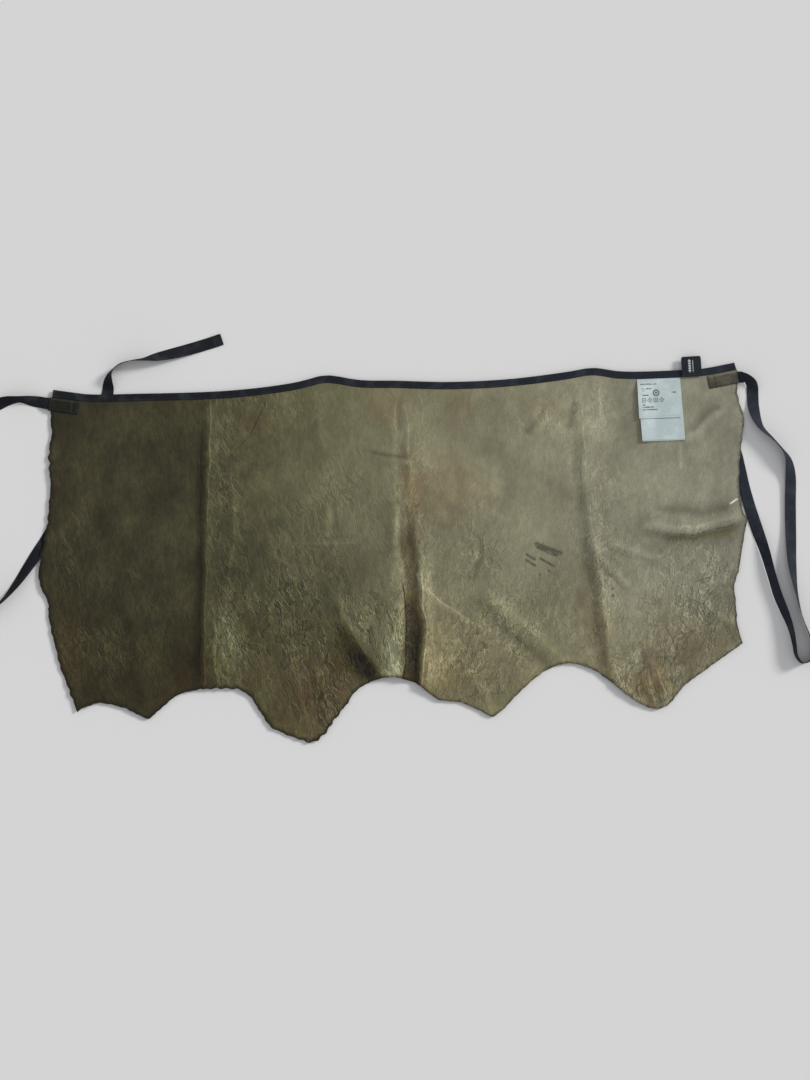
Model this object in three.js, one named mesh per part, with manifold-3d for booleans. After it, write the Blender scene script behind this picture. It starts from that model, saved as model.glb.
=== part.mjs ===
// A leather waist apron for welding, laid out flat with its inner face up.
// Millimetres. +X runs along the waist, +Y points from the hem to the waist, +Z is up, and the floor is z = 0.
import * as THREE from 'three';
import { mergeVertices } from 'three/addons/utils/BufferGeometryUtils.js';
import Module from 'manifold-3d';

const wasm = await Module();
wasm.setup();

// The hide.
const hideWidth = 920;
const hideLength = 503;
const hideThickness = 1.2;
const hideCell = 20; // size of the facets that follow the drape
const edgeStep = 11; // length of one facet along the raw edge

// The folded tape that binds the waist edge.
const bindingDepth = 9.5;
const bindingThickness = 0.7;
const bindingSteps = 64;

// The two ties, which are flat tape.
const tapeWidth = 15;
const tapeThickness = 0.8;
const tapeBevel = 0.2;
const tapeSteps = 78;
const leftTieDrop = [30, 66]; // lengths along the tie where it leaves the hide's level and reaches the floor
const rightTieDrop = [34, 62];

// The leather tabs that cover the sewn ends of the ties.
const tabWidth = 39;
const tabMargin = 1.25; // how far a tab reaches past the tape on each side
const tabDepth = tapeWidth + 2 * tabMargin;
const tabThickness = 1;
const tabCorner = 1.5;
const leftTabX = -424.6;
const rightTabX = 424.5;

// The care label, a short leaf over a long one.
const careWidth = 56;
const careFrontHeight = 50;
const careBackHeight = 81;
const careThickness = 0.3;
const careCorner = 0.8;
const careStagger = 1.2; // how far the front leaf's sewn edge lies below the back leaf's
const careLabelX = 344.2;

// The loop label, a woven tape folded at its top.
const loopWidth = 25.5;
const loopHeight = 26.4;
const loopLayer = 0.35;
const loopLabelX = 386.9;

// Sewing thread, as the raised line of each seam.
const threadWidth = 0.6;
const threadHeight = 0.3;
const seamInset = 1.8; // from an edge to the seam beside it
const tieEndSeam = 9; // from a tie's end to the seam of its hem

const clearance = 0.3; // between pieces that touch
const liftFade = 36; // how far the hide takes to come down to the floor from a raised place

// Heights of the stack at the waist: tape on the floor, binding, hide, then what is sewn on top.
const edgeLift = tapeThickness + clearance + bindingThickness + clearance;
const hideTop = edgeLift + hideThickness;
const bindingTop = hideTop + clearance + bindingThickness;
const sewnTapeZ = hideTop + clearance + tapeThickness / 2;
const tabZ = hideTop + clearance + tapeThickness + clearance;
const careBackZ = hideTop + clearance;
const careFrontZ = careBackZ + careThickness + clearance;
const loopZ = bindingTop + clearance + threadHeight + clearance;
const loopThickness = 2 * loopLayer + clearance;
const stripDepth = bindingDepth + careBackHeight + hideCell; // the hide stays level this far below the waist

// The outline's points are drawn on a hide of this size, and follow the real one's.
const drawnWidth = 920;
const drawnLength = 503;

function onHide([x, y]) {
  return new THREE.Vector3(x * hideWidth / drawnWidth, y * hideLength / drawnLength, 0);
}

function curveThrough(points) {
  return new THREE.CatmullRomCurve3(points, false, 'centripetal');
}

// The waist edge from left to right, on the outside of the binding.
const waistLine = curveThrough([
  [-441, 208], [-402, 202.5], [-330, 203], [-222, 206.4], [-159, 212.6], [-120, 219], [-88, 227],
  [-43, 220.7], [3, 220], [74, 218.3], [154, 222.3], [227, 231.5], [260, 236.7], [295, 232],
  [373, 233.7], [403, 235.7], [443, 243.4],
].map(onHide));

// The raw edge, clockwise from the right end of the waist. Each stretch is smooth, and they meet in points.
const rightSide = [
  [447, 232], [448, 197], [456, 171], [453, 143], [450, 110], [450, 74], [455, 49], [460, 40],
  [457, 24], [453, 0], [449, -27], [443, -44], [446, -75], [447, -98], [454, -121],
];
const hemStretches = [
  [[454, -121], [426, -141], [400, -160], [376, -178], [362, -197], [342, -207], [306, -190],
    [283, -171], [257, -154], [227, -147], [199, -156], [167, -182], [143, -207], [129, -218]],
  [[129, -218], [108, -206], [79, -196], [59, -195], [32, -174], [1, -165], [-24, -169],
    [-49, -184], [-68, -212], [-82, -227], [-86, -238], [-108, -251.4]],
  [[-108, -251.4], [-128, -243], [-157, -231], [-175, -206], [-192, -184], [-217, -179.5],
    [-260, -182.5], [-284, -191], [-304, -209], [-318, -220.5]],
  [[-318, -220.5], [-349, -205], [-378, -199], [-401, -204], [-410, -210.6]],
];
const leftSide = [
  [-410, -210.6], [-419, -186], [-432, -152], [-440, -119], [-447, -88], [-449, -65], [-460, -41],
  [-460, -26], [-454, 8], [-449, 36], [-446, 60], [-445, 88], [-447, 125], [-443, 152],
  [-445, 178], [-443, 199],
];

// Old fold lines stand up from the floor as soft ridges that run down the hide.
const foldRidges = [
  { top: [-236, 110], bottom: [-242, -190], halfWidth: 38, height: 4.5 },
  { top: [-12, 110], bottom: [-30, -190], halfWidth: 36, height: 6 },
  { top: [30, 110], bottom: [44, -190], halfWidth: 34, height: 6 },
  { top: [252, 110], bottom: [284, -190], halfWidth: 38, height: 5.5 },
];
const ridgeFade = 90;

// Centre line of each tie, from its sewn end, as steps from the middle of its tab.
const leftTieRoute = [
  [11, -1.5], [0, 0], [-20.5, 3], [-36.5, 5.7], [-57.5, 8.2], [-73, 6.4], [-83.5, 2.7], [-114, -15],
  [-137, -49], [-149, -98], [-152, -155], [-147, -207], [-134, -247], [-116, -267], [-99, -268],
  [-83.5, -257], [-63.5, -234], [-47, -210], [-34, -190], [-23.5, -174], [-5.5, -142], [20, -90],
  [42, -40], [54, 2], [57, 20], [58.5, 34], [63, 45.5], [73, 54], [87, 58.5], [104, 60.5],
  [122, 63.7], [154.5, 71.4], [189.5, 81.7], [204.5, 86.7],
];
const rightTieRoute = [
  [-11, -1.6], [0, 0], [20, 2.9], [30, 1.5], [37, -5.5], [39, -17.5], [40, -34.5], [44, -51.5],
  [50, -63], [65, -77.5], [78, -92.5], [85, -106], [88, -125], [88, -161], [88.5, -201],
  [90, -241], [95, -276], [103, -309], [112, -333], [116, -349], [113, -364], [103, -368],
  [95, -359], [92, -343], [87.5, -322.5], [79, -299.5], [71, -280], [63, -254], [54, -222.5],
  [45, -195.5], [35.5, -165.5], [28, -139.5], [23, -117.5], [16, -91], [3, -68], [-18, -53],
  [-46, -45], [-78, -42], [-112, -43], [-152, -48],
];

// The point on the waist edge at a width x of the drawn hide, and the edge's direction there.
const waistSamples = waistLine.getSpacedPoints(bindingSteps);

function waistAt(x) {
  const place = onHide([x, 0]).x;
  const after = Math.max(1, waistSamples.findIndex((p, i) => p.x >= place || i === bindingSteps));
  const [a, b] = [waistSamples[after - 1], waistSamples[after]];
  const y = a.y + (b.y - a.y) * (place - a.x) / (b.x - a.x);
  return { x: place, y, angle: Math.atan2(b.y - a.y, b.x - a.x) };
}

// The place that lies `below` under the waist edge, square to it.
function underWaist(x, below) {
  const edge = waistAt(x);
  const down = new THREE.Vector2(Math.sin(edge.angle), -Math.cos(edge.angle)).multiplyScalar(below);
  return { x: edge.x + down.x, y: edge.y + down.y, angle: edge.angle };
}

const tabBelow = bindingDepth + clearance + tabDepth / 2;
const leftTabPlace = underWaist(leftTabX, tabBelow);
const rightTabPlace = underWaist(rightTabX, tabBelow);

// A tie's route: seen from above it is a smooth curve, and it comes down from the hide's face to the floor.
class TieCurve extends THREE.Curve {
  constructor(route, tab, drop) {
    super();
    this.plan = curveThrough(route.map(([dx, dy]) => new THREE.Vector3(tab.x + dx, tab.y + dy, 0)));
    this.span = this.plan.getLength();
    this.drop = drop;
  }

  getPoint(t, target = new THREE.Vector3()) {
    target.copy(this.plan.getPointAt(t));
    const down = THREE.MathUtils.smoothstep(t * this.span, ...this.drop);
    return target.setZ(THREE.MathUtils.lerp(sewnTapeZ, tapeThickness / 2, down));
  }

  // The frames carried along the route keep the tape's width level.
  computeFrenetFrames(segments) {
    const tangents = Array.from({ length: segments + 1 }, (_, i) => this.getTangentAt(i / segments));
    const binormals = tangents.map((along) => new THREE.Vector3(-along.y, along.x, 0).normalize());
    const normals = tangents.map((along, i) => binormals[i].clone().cross(along));
    return { tangents, normals, binormals };
  }
}

const leftTieCurve = new TieCurve(leftTieRoute, leftTabPlace, leftTieDrop);
const rightTieCurve = new TieCurve(rightTieRoute, rightTabPlace, rightTieDrop);
const tapePoints = [leftTieCurve, rightTieCurve].flatMap((curve) => curve.getSpacedPoints(tapeSteps));

// How much of the waist's height the hide has: all of it near the waist and over the ties, none elsewhere.
function raisedShare(x, y) {
  const drawnX = x * drawnWidth / hideWidth;
  const below = waistAt(THREE.MathUtils.clamp(drawnX, -drawnWidth / 2, drawnWidth / 2)).y - y;
  const atWaist = 1 - THREE.MathUtils.smoothstep(below, stripDepth, stripDepth + liftFade);
  const nearest = Math.min(...tapePoints.map((p) => Math.hypot(p.x - x, p.y - y)));
  const level = tapeWidth / 2 + hideCell;
  return { atWaist, overTape: 1 - THREE.MathUtils.smoothstep(nearest, level, level + liftFade) };
}

function ridgeHeight(x, y) {
  return foldRidges.reduce((sum, ridge) => {
    const top = onHide(ridge.top);
    const bottom = onHide(ridge.bottom);
    const along = (y - bottom.y) / (top.y - bottom.y);
    const across = Math.abs(x - THREE.MathUtils.lerp(bottom.x, top.x, along)) / ridge.halfWidth;
    const bump = across < 1 ? Math.cos(across * Math.PI / 2) ** 2 : 0;
    return sum + ridge.height * bump * (1 - THREE.MathUtils.smoothstep(y, top.y - ridgeFade, top.y));
  }, 0);
}

// Height of the hide's underside over the floor.
function lift(x, y) {
  const { atWaist, overTape } = raisedShare(x, y);
  return edgeLift * Math.max(atWaist, overTape) + ridgeHeight(x, y) * (1 - atWaist) * (1 - overTape);
}

function toSolid(geometry) {
  const bare = geometry.clone();
  bare.deleteAttribute('normal');
  bare.deleteAttribute('uv');
  const merged = mergeVertices(bare, 1e-4);
  return new wasm.Manifold(new wasm.Mesh({
    numProp: 3,
    vertProperties: new Float32Array(merged.attributes.position.array),
    triVerts: new Uint32Array(merged.index.array),
  }));
}

function toGeometry(solid) {
  const mesh = solid.getMesh();
  const geometry = new THREE.BufferGeometry();
  geometry.setAttribute('position', new THREE.BufferAttribute(mesh.vertProperties, 3));
  geometry.setIndex(new THREE.BufferAttribute(mesh.triVerts, 1));
  geometry.computeVertexNormals();
  return geometry;
}

function rawStretch(points) {
  const curve = curveThrough(points.map(onHide));
  return curve.getSpacedPoints(Math.ceil(curve.getLength() / edgeStep)).slice(1);
}

// The hide's outline: its waist edge lies inside the fold of the binding, and the rest is raw.
function hideOutline() {
  const inset = bindingThickness + clearance;
  const waist = waistSamples.map((p, i) => {
    const along = waistLine.getTangentAt(i / bindingSteps);
    return new THREE.Vector3(p.x + along.y * inset, p.y - along.x * inset, 0);
  });
  const raw = [rightSide, ...hemStretches, leftSide].flatMap((stretch, i) => (
    i === 0 ? [onHide(stretch[0]), ...rawStretch(stretch)] : rawStretch(stretch)
  ));
  return [...waist, ...raw].map((p) => new THREE.Vector2(p.x, p.y));
}

// A thin slab, bent to the drape and cut to the outline.
function hideGeometry() {
  const margin = 2 * hideCell;
  const [sizeX, sizeY] = [hideWidth + margin, hideLength + margin];
  const slab = new THREE.BoxGeometry(
    sizeX, sizeY, hideThickness, Math.ceil(sizeX / hideCell), Math.ceil(sizeY / hideCell), 1,
  );
  const at = slab.attributes.position;
  for (let i = 0; i < at.count; i += 1) {
    at.setZ(i, at.getZ(i) + hideThickness / 2 + lift(at.getX(i), at.getY(i)));
  }
  const tallest = 60;
  const cutter = new THREE.ExtrudeGeometry(new THREE.Shape(hideOutline()), {
    depth: 2 * tallest, bevelEnabled: false, curveSegments: 1,
  });
  cutter.translate(0, 0, -tallest);
  return toGeometry(toSolid(slab).intersect(toSolid(cutter)));
}

// A section carried along the waist edge. Its first number points down and its second away from the hide.
function alongWaist(section) {
  return new THREE.ExtrudeGeometry(section, {
    steps: bindingSteps, extrudePath: waistLine, bevelEnabled: false,
  });
}

function bindingSection() {
  const low = -(edgeLift - clearance - bindingThickness);
  const [innerLow, innerHigh] = [low - bindingThickness, -(hideTop + clearance)];
  const section = new THREE.Shape();
  section.moveTo(low, 0);
  section.lineTo(low, -bindingDepth);
  section.lineTo(innerLow, -bindingDepth);
  section.lineTo(innerLow, -bindingThickness);
  section.lineTo(innerHigh, -bindingThickness);
  section.lineTo(innerHigh, -bindingDepth);
  section.lineTo(-bindingTop, -bindingDepth);
  section.lineTo(-bindingTop, 0);
  section.closePath();
  return section;
}

function threadSection() {
  const bottom = -(bindingTop + clearance);
  const far = seamInset - bindingDepth;
  const section = new THREE.Shape();
  section.moveTo(bottom, far - threadWidth / 2);
  section.lineTo(bottom - threadHeight, far - threadWidth / 2);
  section.lineTo(bottom - threadHeight, far + threadWidth / 2);
  section.lineTo(bottom, far + threadWidth / 2);
  section.closePath();
  return section;
}

// Flat tape has eight sides, with its thin edges bevelled.
function tapeSection() {
  const [x, y] = [tapeThickness / 2, tapeWidth / 2];
  const corners = [
    [x - tapeBevel, -y], [x, -y + tapeBevel], [x, y - tapeBevel], [x - tapeBevel, y],
    [-x + tapeBevel, y], [-x, y - tapeBevel], [-x, -y + tapeBevel], [-x + tapeBevel, -y],
  ];
  return new THREE.Shape(corners.map(([a, b]) => new THREE.Vector2(a, b)));
}

function tieGeometry(curve) {
  return new THREE.ExtrudeGeometry(tapeSection(), {
    steps: tapeSteps, extrudePath: curve, bevelEnabled: false,
  });
}

// A rectangle with rounded corners: x from -width / 2, y from `low` up.
function roundedShape(width, height, low, radius) {
  const [left, right, top] = [-width / 2, width / 2, low + height];
  const shape = new THREE.Shape();
  shape.moveTo(left + radius, low);
  shape.lineTo(right - radius, low);
  shape.absarc(right - radius, low + radius, radius, -Math.PI / 2, 0, false);
  shape.lineTo(right, top - radius);
  shape.absarc(right - radius, top - radius, radius, 0, Math.PI / 2, false);
  shape.lineTo(left + radius, top);
  shape.absarc(left + radius, top - radius, radius, Math.PI / 2, Math.PI, false);
  shape.lineTo(left, low + radius);
  shape.absarc(left + radius, low + radius, radius, Math.PI, Math.PI * 1.5, false);
  return shape;
}

function plateGeometry(shape, thickness) {
  return new THREE.ExtrudeGeometry(shape, { depth: thickness, bevelEnabled: false, curveSegments: 4 });
}

// The tab's seam is a rectangle of thread inside its edges.
function tabThreadGeometry() {
  const inset = seamInset - threadWidth / 2;
  const outer = [tabWidth - 2 * inset, tabDepth - 2 * inset];
  const inner = outer.map((size) => size - 2 * threadWidth);
  const ring = roundedShape(outer[0], outer[1], -outer[1] / 2, tabCorner);
  ring.holes.push(roundedShape(inner[0], inner[1], -inner[1] / 2, tabCorner - threadWidth));
  return plateGeometry(ring, threadHeight);
}

// Two layers of woven tape joined by a fold at the top. The section is drawn in height and thickness.
function loopLabelGeometry() {
  const outer = loopThickness / 2;
  const inner = outer - loopLayer;
  const bend = loopHeight - outer;
  const section = new THREE.Shape();
  section.moveTo(0, 0);
  section.lineTo(bend, 0);
  section.absarc(bend, outer, outer, -Math.PI / 2, Math.PI / 2, false);
  section.lineTo(0, loopThickness);
  section.lineTo(0, loopThickness - loopLayer);
  section.lineTo(bend, loopThickness - loopLayer);
  section.absarc(bend, outer, inner, Math.PI / 2, -Math.PI / 2, true);
  section.lineTo(0, loopLayer);
  section.closePath();
  const geometry = plateGeometry(section, loopWidth);
  const turn = new THREE.Matrix4().makeBasis(
    new THREE.Vector3(0, 1, 0), new THREE.Vector3(0, 0, 1), new THREE.Vector3(1, 0, 0),
  );
  return geometry.applyMatrix4(turn).translate(-loopWidth / 2, 0, 0);
}

// A short bar of thread, square across whatever it is sewn through.
function seamBarGeometry(length) {
  return new THREE.BoxGeometry(length, threadWidth, threadHeight).translate(0, 0, threadHeight / 2);
}

const finishes = {
  hide: { color: 0x6f6b50, roughness: 0.62, metalness: 0 },
  darkLeather: { color: 0x35342c, roughness: 0.5, metalness: 0 },
  navyTape: { color: 0x1c1f27, roughness: 0.85, metalness: 0 },
  whiteSatin: { color: 0xdfe4e2, roughness: 0.45, metalness: 0 },
  blackWoven: { color: 0x16191d, roughness: 0.8, metalness: 0 },
  darkThread: { color: 0x141519, roughness: 0.7, metalness: 0 },
};

const apron = new THREE.Group();

function addPiece(name, geometry, finish, place = { x: 0, y: 0, angle: 0 }, z = 0) {
  const mesh = new THREE.Mesh(geometry, new THREE.MeshStandardMaterial(finishes[finish]));
  mesh.name = name;
  mesh.position.set(place.x, place.y, z);
  mesh.rotation.z = place.angle;
  apron.add(mesh);
}

function addTab(side, place) {
  const tab = roundedShape(tabWidth, tabDepth, -tabDepth / 2, tabCorner);
  addPiece(`${side}_tab`, plateGeometry(tab, tabThickness), 'darkLeather', place, tabZ);
  const threadZ = tabZ + tabThickness + clearance;
  addPiece(`${side}_tab_thread`, tabThreadGeometry(), 'darkThread', place, threadZ);
}

// The hem seam lies across a tie, a little before its free end.
function addTie(side, curve) {
  addPiece(`${side}_tie`, tieGeometry(curve), 'navyTape');
  const at = 1 - tieEndSeam / curve.getLength();
  const point = curve.getPointAt(at);
  const along = curve.getTangentAt(at);
  const place = { x: point.x, y: point.y, angle: Math.atan2(along.y, along.x) + Math.PI / 2 };
  const bar = seamBarGeometry(tapeWidth - 2 * seamInset);
  addPiece(`${side}_tie_end_thread`, bar, 'darkThread', place, tapeThickness + clearance);
}

function addCareLabel() {
  const sewn = bindingDepth + clearance;
  const back = roundedShape(careWidth, careBackHeight, -careBackHeight, careCorner);
  const front = roundedShape(careWidth, careFrontHeight, -careFrontHeight, careCorner);
  const backPlace = underWaist(careLabelX, sewn);
  const frontPlace = underWaist(careLabelX, sewn + careStagger);
  addPiece('care_label_back_leaf', plateGeometry(back, careThickness), 'whiteSatin', backPlace, careBackZ);
  addPiece('care_label_front_leaf', plateGeometry(front, careThickness), 'whiteSatin', frontPlace, careFrontZ);
}

function addLoopLabel() {
  addPiece('loop_label', loopLabelGeometry(), 'blackWoven', underWaist(loopLabelX, bindingDepth), loopZ);
  const bar = seamBarGeometry(loopWidth - 2 * seamInset);
  const seam = underWaist(loopLabelX, bindingDepth - seamInset);
  addPiece('loop_label_thread', bar, 'darkThread', seam, loopZ + loopThickness + clearance);
}

addPiece('hide', hideGeometry(), 'hide');
addPiece('waist_binding', alongWaist(bindingSection()), 'navyTape');
addPiece('waist_binding_thread', alongWaist(threadSection()), 'darkThread');
addTab('left', leftTabPlace);
addTab('right', rightTabPlace);
addTie('left', leftTieCurve);
addTie('right', rightTieCurve);
addCareLabel();
addLoopLabel();

export default apron;
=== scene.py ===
from math import cos, radians, sin

import bpy
import numpy as np
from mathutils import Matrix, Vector


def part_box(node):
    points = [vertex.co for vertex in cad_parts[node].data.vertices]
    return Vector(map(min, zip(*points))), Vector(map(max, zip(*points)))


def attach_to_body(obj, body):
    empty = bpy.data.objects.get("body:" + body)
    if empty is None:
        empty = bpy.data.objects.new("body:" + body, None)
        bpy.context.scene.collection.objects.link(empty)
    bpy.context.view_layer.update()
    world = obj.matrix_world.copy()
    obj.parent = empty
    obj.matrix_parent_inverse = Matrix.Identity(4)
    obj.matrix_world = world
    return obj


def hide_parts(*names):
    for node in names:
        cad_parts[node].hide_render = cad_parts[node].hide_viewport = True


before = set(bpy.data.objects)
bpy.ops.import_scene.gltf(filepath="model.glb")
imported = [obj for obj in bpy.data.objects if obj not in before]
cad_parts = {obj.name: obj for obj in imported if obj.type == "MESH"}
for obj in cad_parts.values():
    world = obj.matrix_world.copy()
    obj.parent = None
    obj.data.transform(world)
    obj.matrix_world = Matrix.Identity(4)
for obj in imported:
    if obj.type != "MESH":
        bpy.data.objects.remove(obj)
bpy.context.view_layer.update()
mm = 0.001


def step(low, high, value):
    # rises smoothly from 0 at low to 1 at high
    t = np.clip((value - low) / (high - low), 0, 1)
    return t * t * (3 - 2 * t)


def grain(x, y, seed):
    # gradient noise: each whole-number point has a random slope, and the slopes are blended; about -0.7 to 0.7
    slopes = np.random.default_rng(seed).uniform(-1, 1, (128, 128, 2))
    column, row = np.floor(x).astype(int), np.floor(y).astype(int)
    fx, fy = x - column, y - row
    blendX, blendY = step(0, 1, fx), step(0, 1, fy)

    def corner(i, j):
        # slope of a whole-number point times the way to it
        slope = slopes[(column + i) % 128, (row + j) % 128]
        return slope[..., 0] * (fx - i) + slope[..., 1] * (fy - j)

    low = corner(0, 0) * (1 - blendX) + corner(1, 0) * blendX
    high = corner(0, 1) * (1 - blendX) + corner(1, 1) * blendX
    return low * (1 - blendY) + high * blendY


def grainAlong(at, seed):
    # the same noise read along one line: the second coordinate is 0 all the way
    return grain(at, np.zeros_like(at), seed)


def lineLength(points):
    # distance along a line of points, from its start to each point
    return np.concatenate([[0], np.cumsum(np.linalg.norm(np.diff(points, axis=0), axis=1))])


def headings(points):
    # unit directions along a line: the slope at each point divided by its own length
    ahead = np.gradient(points, axis=0)
    return ahead / np.linalg.norm(ahead, axis=1)[:, None]


def evenly(points, count):
    # the same line with its points at even distances
    along = lineLength(points)
    at = np.linspace(0, along[-1], count)
    return np.stack([np.interp(at, along, axis) for axis in points.T], axis=1)


def soften(points, passes):
    # each point moves to the average of itself twice and its neighbours once; the ends stay
    points = points.copy()
    for _ in range(passes):
        points[1:-1] = (points[:-2] + 2 * points[1:-1] + points[2:]) / 4
    return points


def throughPoints(points, perSpan=24):
    # centripetal Catmull-Rom curve: each span is a Hermite cubic whose knots are spaced by the root of its length
    p = np.array(points, float)
    p = np.concatenate([[2 * p[0] - p[1]], p, [2 * p[-1] - p[-2]]])
    knot = np.linalg.norm(np.diff(p[:, :2], axis=0), axis=1) ** 0.5
    before, here, after = (knot[i:len(knot) - 2 + i, None] for i in range(3))
    a, b, c, d = (p[i:len(p) - 3 + i] for i in range(4))
    startSlope = ((b - a) / before - (c - a) / (before + here) + (c - b) / here) * here
    endSlope = ((c - b) / here - (d - b) / (here + after) + (d - c) / after) * here
    t = (np.arange(perSpan) / perSpan)[None, :, None]
    start, end, s0, s1 = (q[:, None, :] for q in (b, c, startSlope, endSlope))
    spans = (start + s0 * t + (3 * (end - start) - 2 * s0 - s1) * t**2 + (2 * (start - end) + s0 + s1) * t**3)
    return np.concatenate([spans.reshape(-1, p.shape[1]), p[-2:-1]])


def distanceTo(x, y, points):
    # signed distance from a bent line, positive on its left, and how far along the line, from 0 to 1
    points = np.array(points, float)
    along = lineLength(points)
    nearest, signed, share = (np.full(np.shape(x), v) for v in (np.inf, 0.0, 0.0))
    for (a, b, start) in zip(points[:-1], points[1:], along[:-1]):
        way = b - a
        length = np.linalg.norm(way)
        t = np.clip(((x - a[0]) * way[0] + (y - a[1]) * way[1]) / length**2, 0, 1)
        offX, offY = x - a[0] - t * way[0], y - a[1] - t * way[1]
        gap = np.hypot(offX, offY)
        closer = gap < nearest
        side = np.where(way[0] * offY - way[1] * offX >= 0, 1, -1)
        nearest = np.where(closer, gap, nearest)
        signed = np.where(closer, gap * side, signed)
        share = np.where(closer, (start + t * length) / along[-1], share)
    return signed, share


def gridQuads(rows, columns, wrap=False):
    # the four corners of each quad of a grid, as vertex numbers and as row and column numbers
    row, column = np.meshgrid(np.arange(rows - 1), np.arange(columns if wrap else columns - 1), indexing="ij")
    rowAt = np.stack([row, row, row + 1, row + 1], axis=-1).reshape(-1, 4)
    columnAt = np.stack([column, column + 1, column + 1, column], axis=-1).reshape(-1, 4)
    return rowAt * columns + columnAt % columns, rowAt, columnAt


def makePiece(name, points, faces, material, cornerUv=None, values=None):
    # a smooth-shaded mesh, sharp over 50 degrees, with its UV map and one number per vertex for each named value
    mesh = bpy.data.meshes.new(name)
    mesh.from_pydata(points, [], faces)
    mesh.shade_smooth()
    mesh.set_sharp_from_angle(angle=radians(50))
    if cornerUv is not None:
        mesh.uv_layers.new(name="weave").data.foreach_set("uv", np.asarray(cornerUv, np.float32).ravel())
    for key, value in (values or {}).items():
        mesh.attributes.new(key, "FLOAT", "POINT").data.foreach_set("value", np.asarray(value, np.float32).ravel())
    mesh.materials.append(material)
    piece = bpy.data.objects.new(name, mesh)
    bpy.context.scene.collection.objects.link(piece)
    return piece


def attach(piece, body, node):
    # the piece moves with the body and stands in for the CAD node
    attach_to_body(piece, body)
    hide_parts(node)


def shell(name, top, bottom, material, topUv=None, values=None, underUv=0):
    # a thin closed piece: an upper grid, a lower grid turned over, and a wall round their edges
    # underUv is added to the second coordinate of the lower grid, to keep the upper one's print off it
    rows, columns = top.shape[:2]
    quads = gridQuads(rows, columns)[0]
    number = np.arange(rows * columns).reshape(rows, columns)
    ring = np.concatenate([number[0, :-1], number[:-1, -1], number[-1, :0:-1], number[:0:-1, 0]])
    after = np.roll(ring, -1)
    wall = np.stack([ring, ring + rows * columns, after + rows * columns, after], axis=1)
    faces = np.concatenate([quads, quads[:, ::-1] + rows * columns, wall])
    uv = None
    if topUv is not None:
        flat = topUv.reshape(-1, 2)
        uv = flat[faces % (rows * columns)]
        uv[len(quads):2 * len(quads), :, 1] += underUv
    points = np.concatenate([top.reshape(-1, 3), bottom.reshape(-1, 3)])
    both = {key: np.concatenate([value.ravel(), value.ravel()]) for key, value in (values or {}).items()}
    return makePiece(name, points, faces.tolist(), material, uv, both)


def sweep(name, centre, across, up, profile, material, values=None):
    # a closed profile carried along a line, with capped ends: each profile point is a distance across and a height
    points = (centre[:, None] + across[:, None] * profile[None, :, :1] + up[:, None] * profile[None, :, 1:])
    rows, columns = points.shape[:2]
    quads, rowAt, columnAt = gridQuads(rows, columns, wrap=True)
    along = lineLength(centre)
    around = lineLength(np.concatenate([profile, profile[:1]]))
    uv = np.stack([around[columnAt], along[rowAt]], axis=-1)[:, ::-1]
    first = list(range(columns))
    last = [(rows - 1) * columns + i for i in range(columns)]
    capUv = np.zeros((2 * columns, 2))
    return makePiece(name, points.reshape(-1, 3), quads[:, ::-1].tolist() + [first, last[::-1]], material,
                     np.concatenate([uv.reshape(-1, 2), capUv]), values)


def withEnds(quads, caps, rows, columns):
    # the quads of a tube and its end caps: turned over at the start, and moved to the last row at the end
    last = (rows - 1) * columns
    return quads.tolist() + [cap[::-1] for cap in caps] + [[last + i for i in cap] for cap in caps]


def stitches(name, centre, along, up, length, radius, material):
    # each stitch is a six-sided grain that thins towards its ends and sinks there into what it is sewn through
    place = np.linspace(-0.5, 0.5, 5)
    girth = radius * np.array([0.35, 0.85, 1.0, 0.85, 0.35])
    sink = radius * np.array([-0.9, -0.2, 0.0, -0.2, -0.9])
    turn = np.arange(6) * np.pi / 3
    side = np.cross(up, along)
    ring = (along[:, None, None] * (place * length)[None, :, None, None]
            + side[:, None, None] * (girth[:, None] * np.cos(turn))[None, :, :, None]
            + up[:, None, None] * (girth[:, None] * np.sin(turn) * 0.8 + sink[:, None])[None, :, :, None])
    points = (centre[:, None, None] + ring).reshape(-1, 3)
    quads = gridQuads(5, 6, wrap=True)[0]
    start = np.arange(len(centre))[:, None, None] * 30
    faces = (quads[None] + start).reshape(-1, 4).tolist()
    caps = np.concatenate([5 - np.arange(6)[None] + start[:, 0], 24 + np.arange(6)[None] + start[:, 0]])
    return makePiece(name, points, faces + caps.tolist(), material)


def roundedPlan(halfX, halfY, radius, columns, rows):
    # a grid over a rectangle whose corner squares are bent into quarter discs
    x, y = np.meshgrid(np.linspace(-halfX, halfX, columns), np.linspace(-halfY, halfY, rows))
    overX = np.clip(np.abs(x) - (halfX - radius), 0, None) / radius
    overY = np.clip(np.abs(y) - (halfY - radius), 0, None) / radius
    x = np.sign(x) * (np.minimum(np.abs(x), halfX - radius) + radius * overX * np.sqrt(1 - overY**2 / 2))
    y = np.sign(y) * (np.minimum(np.abs(y), halfY - radius) + radius * overY * np.sqrt(1 - overX**2 / 2))
    return x, y


def tone(red, green, blue):
    # an everyday 0 to 255 colour as the linear one that a shader takes
    c = np.array([red, green, blue]) / 255
    return (*np.where(c <= 0.04045, c / 12.92, ((c + 0.055) / 1.055) ** 2.4).tolist(), 1.0)


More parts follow.
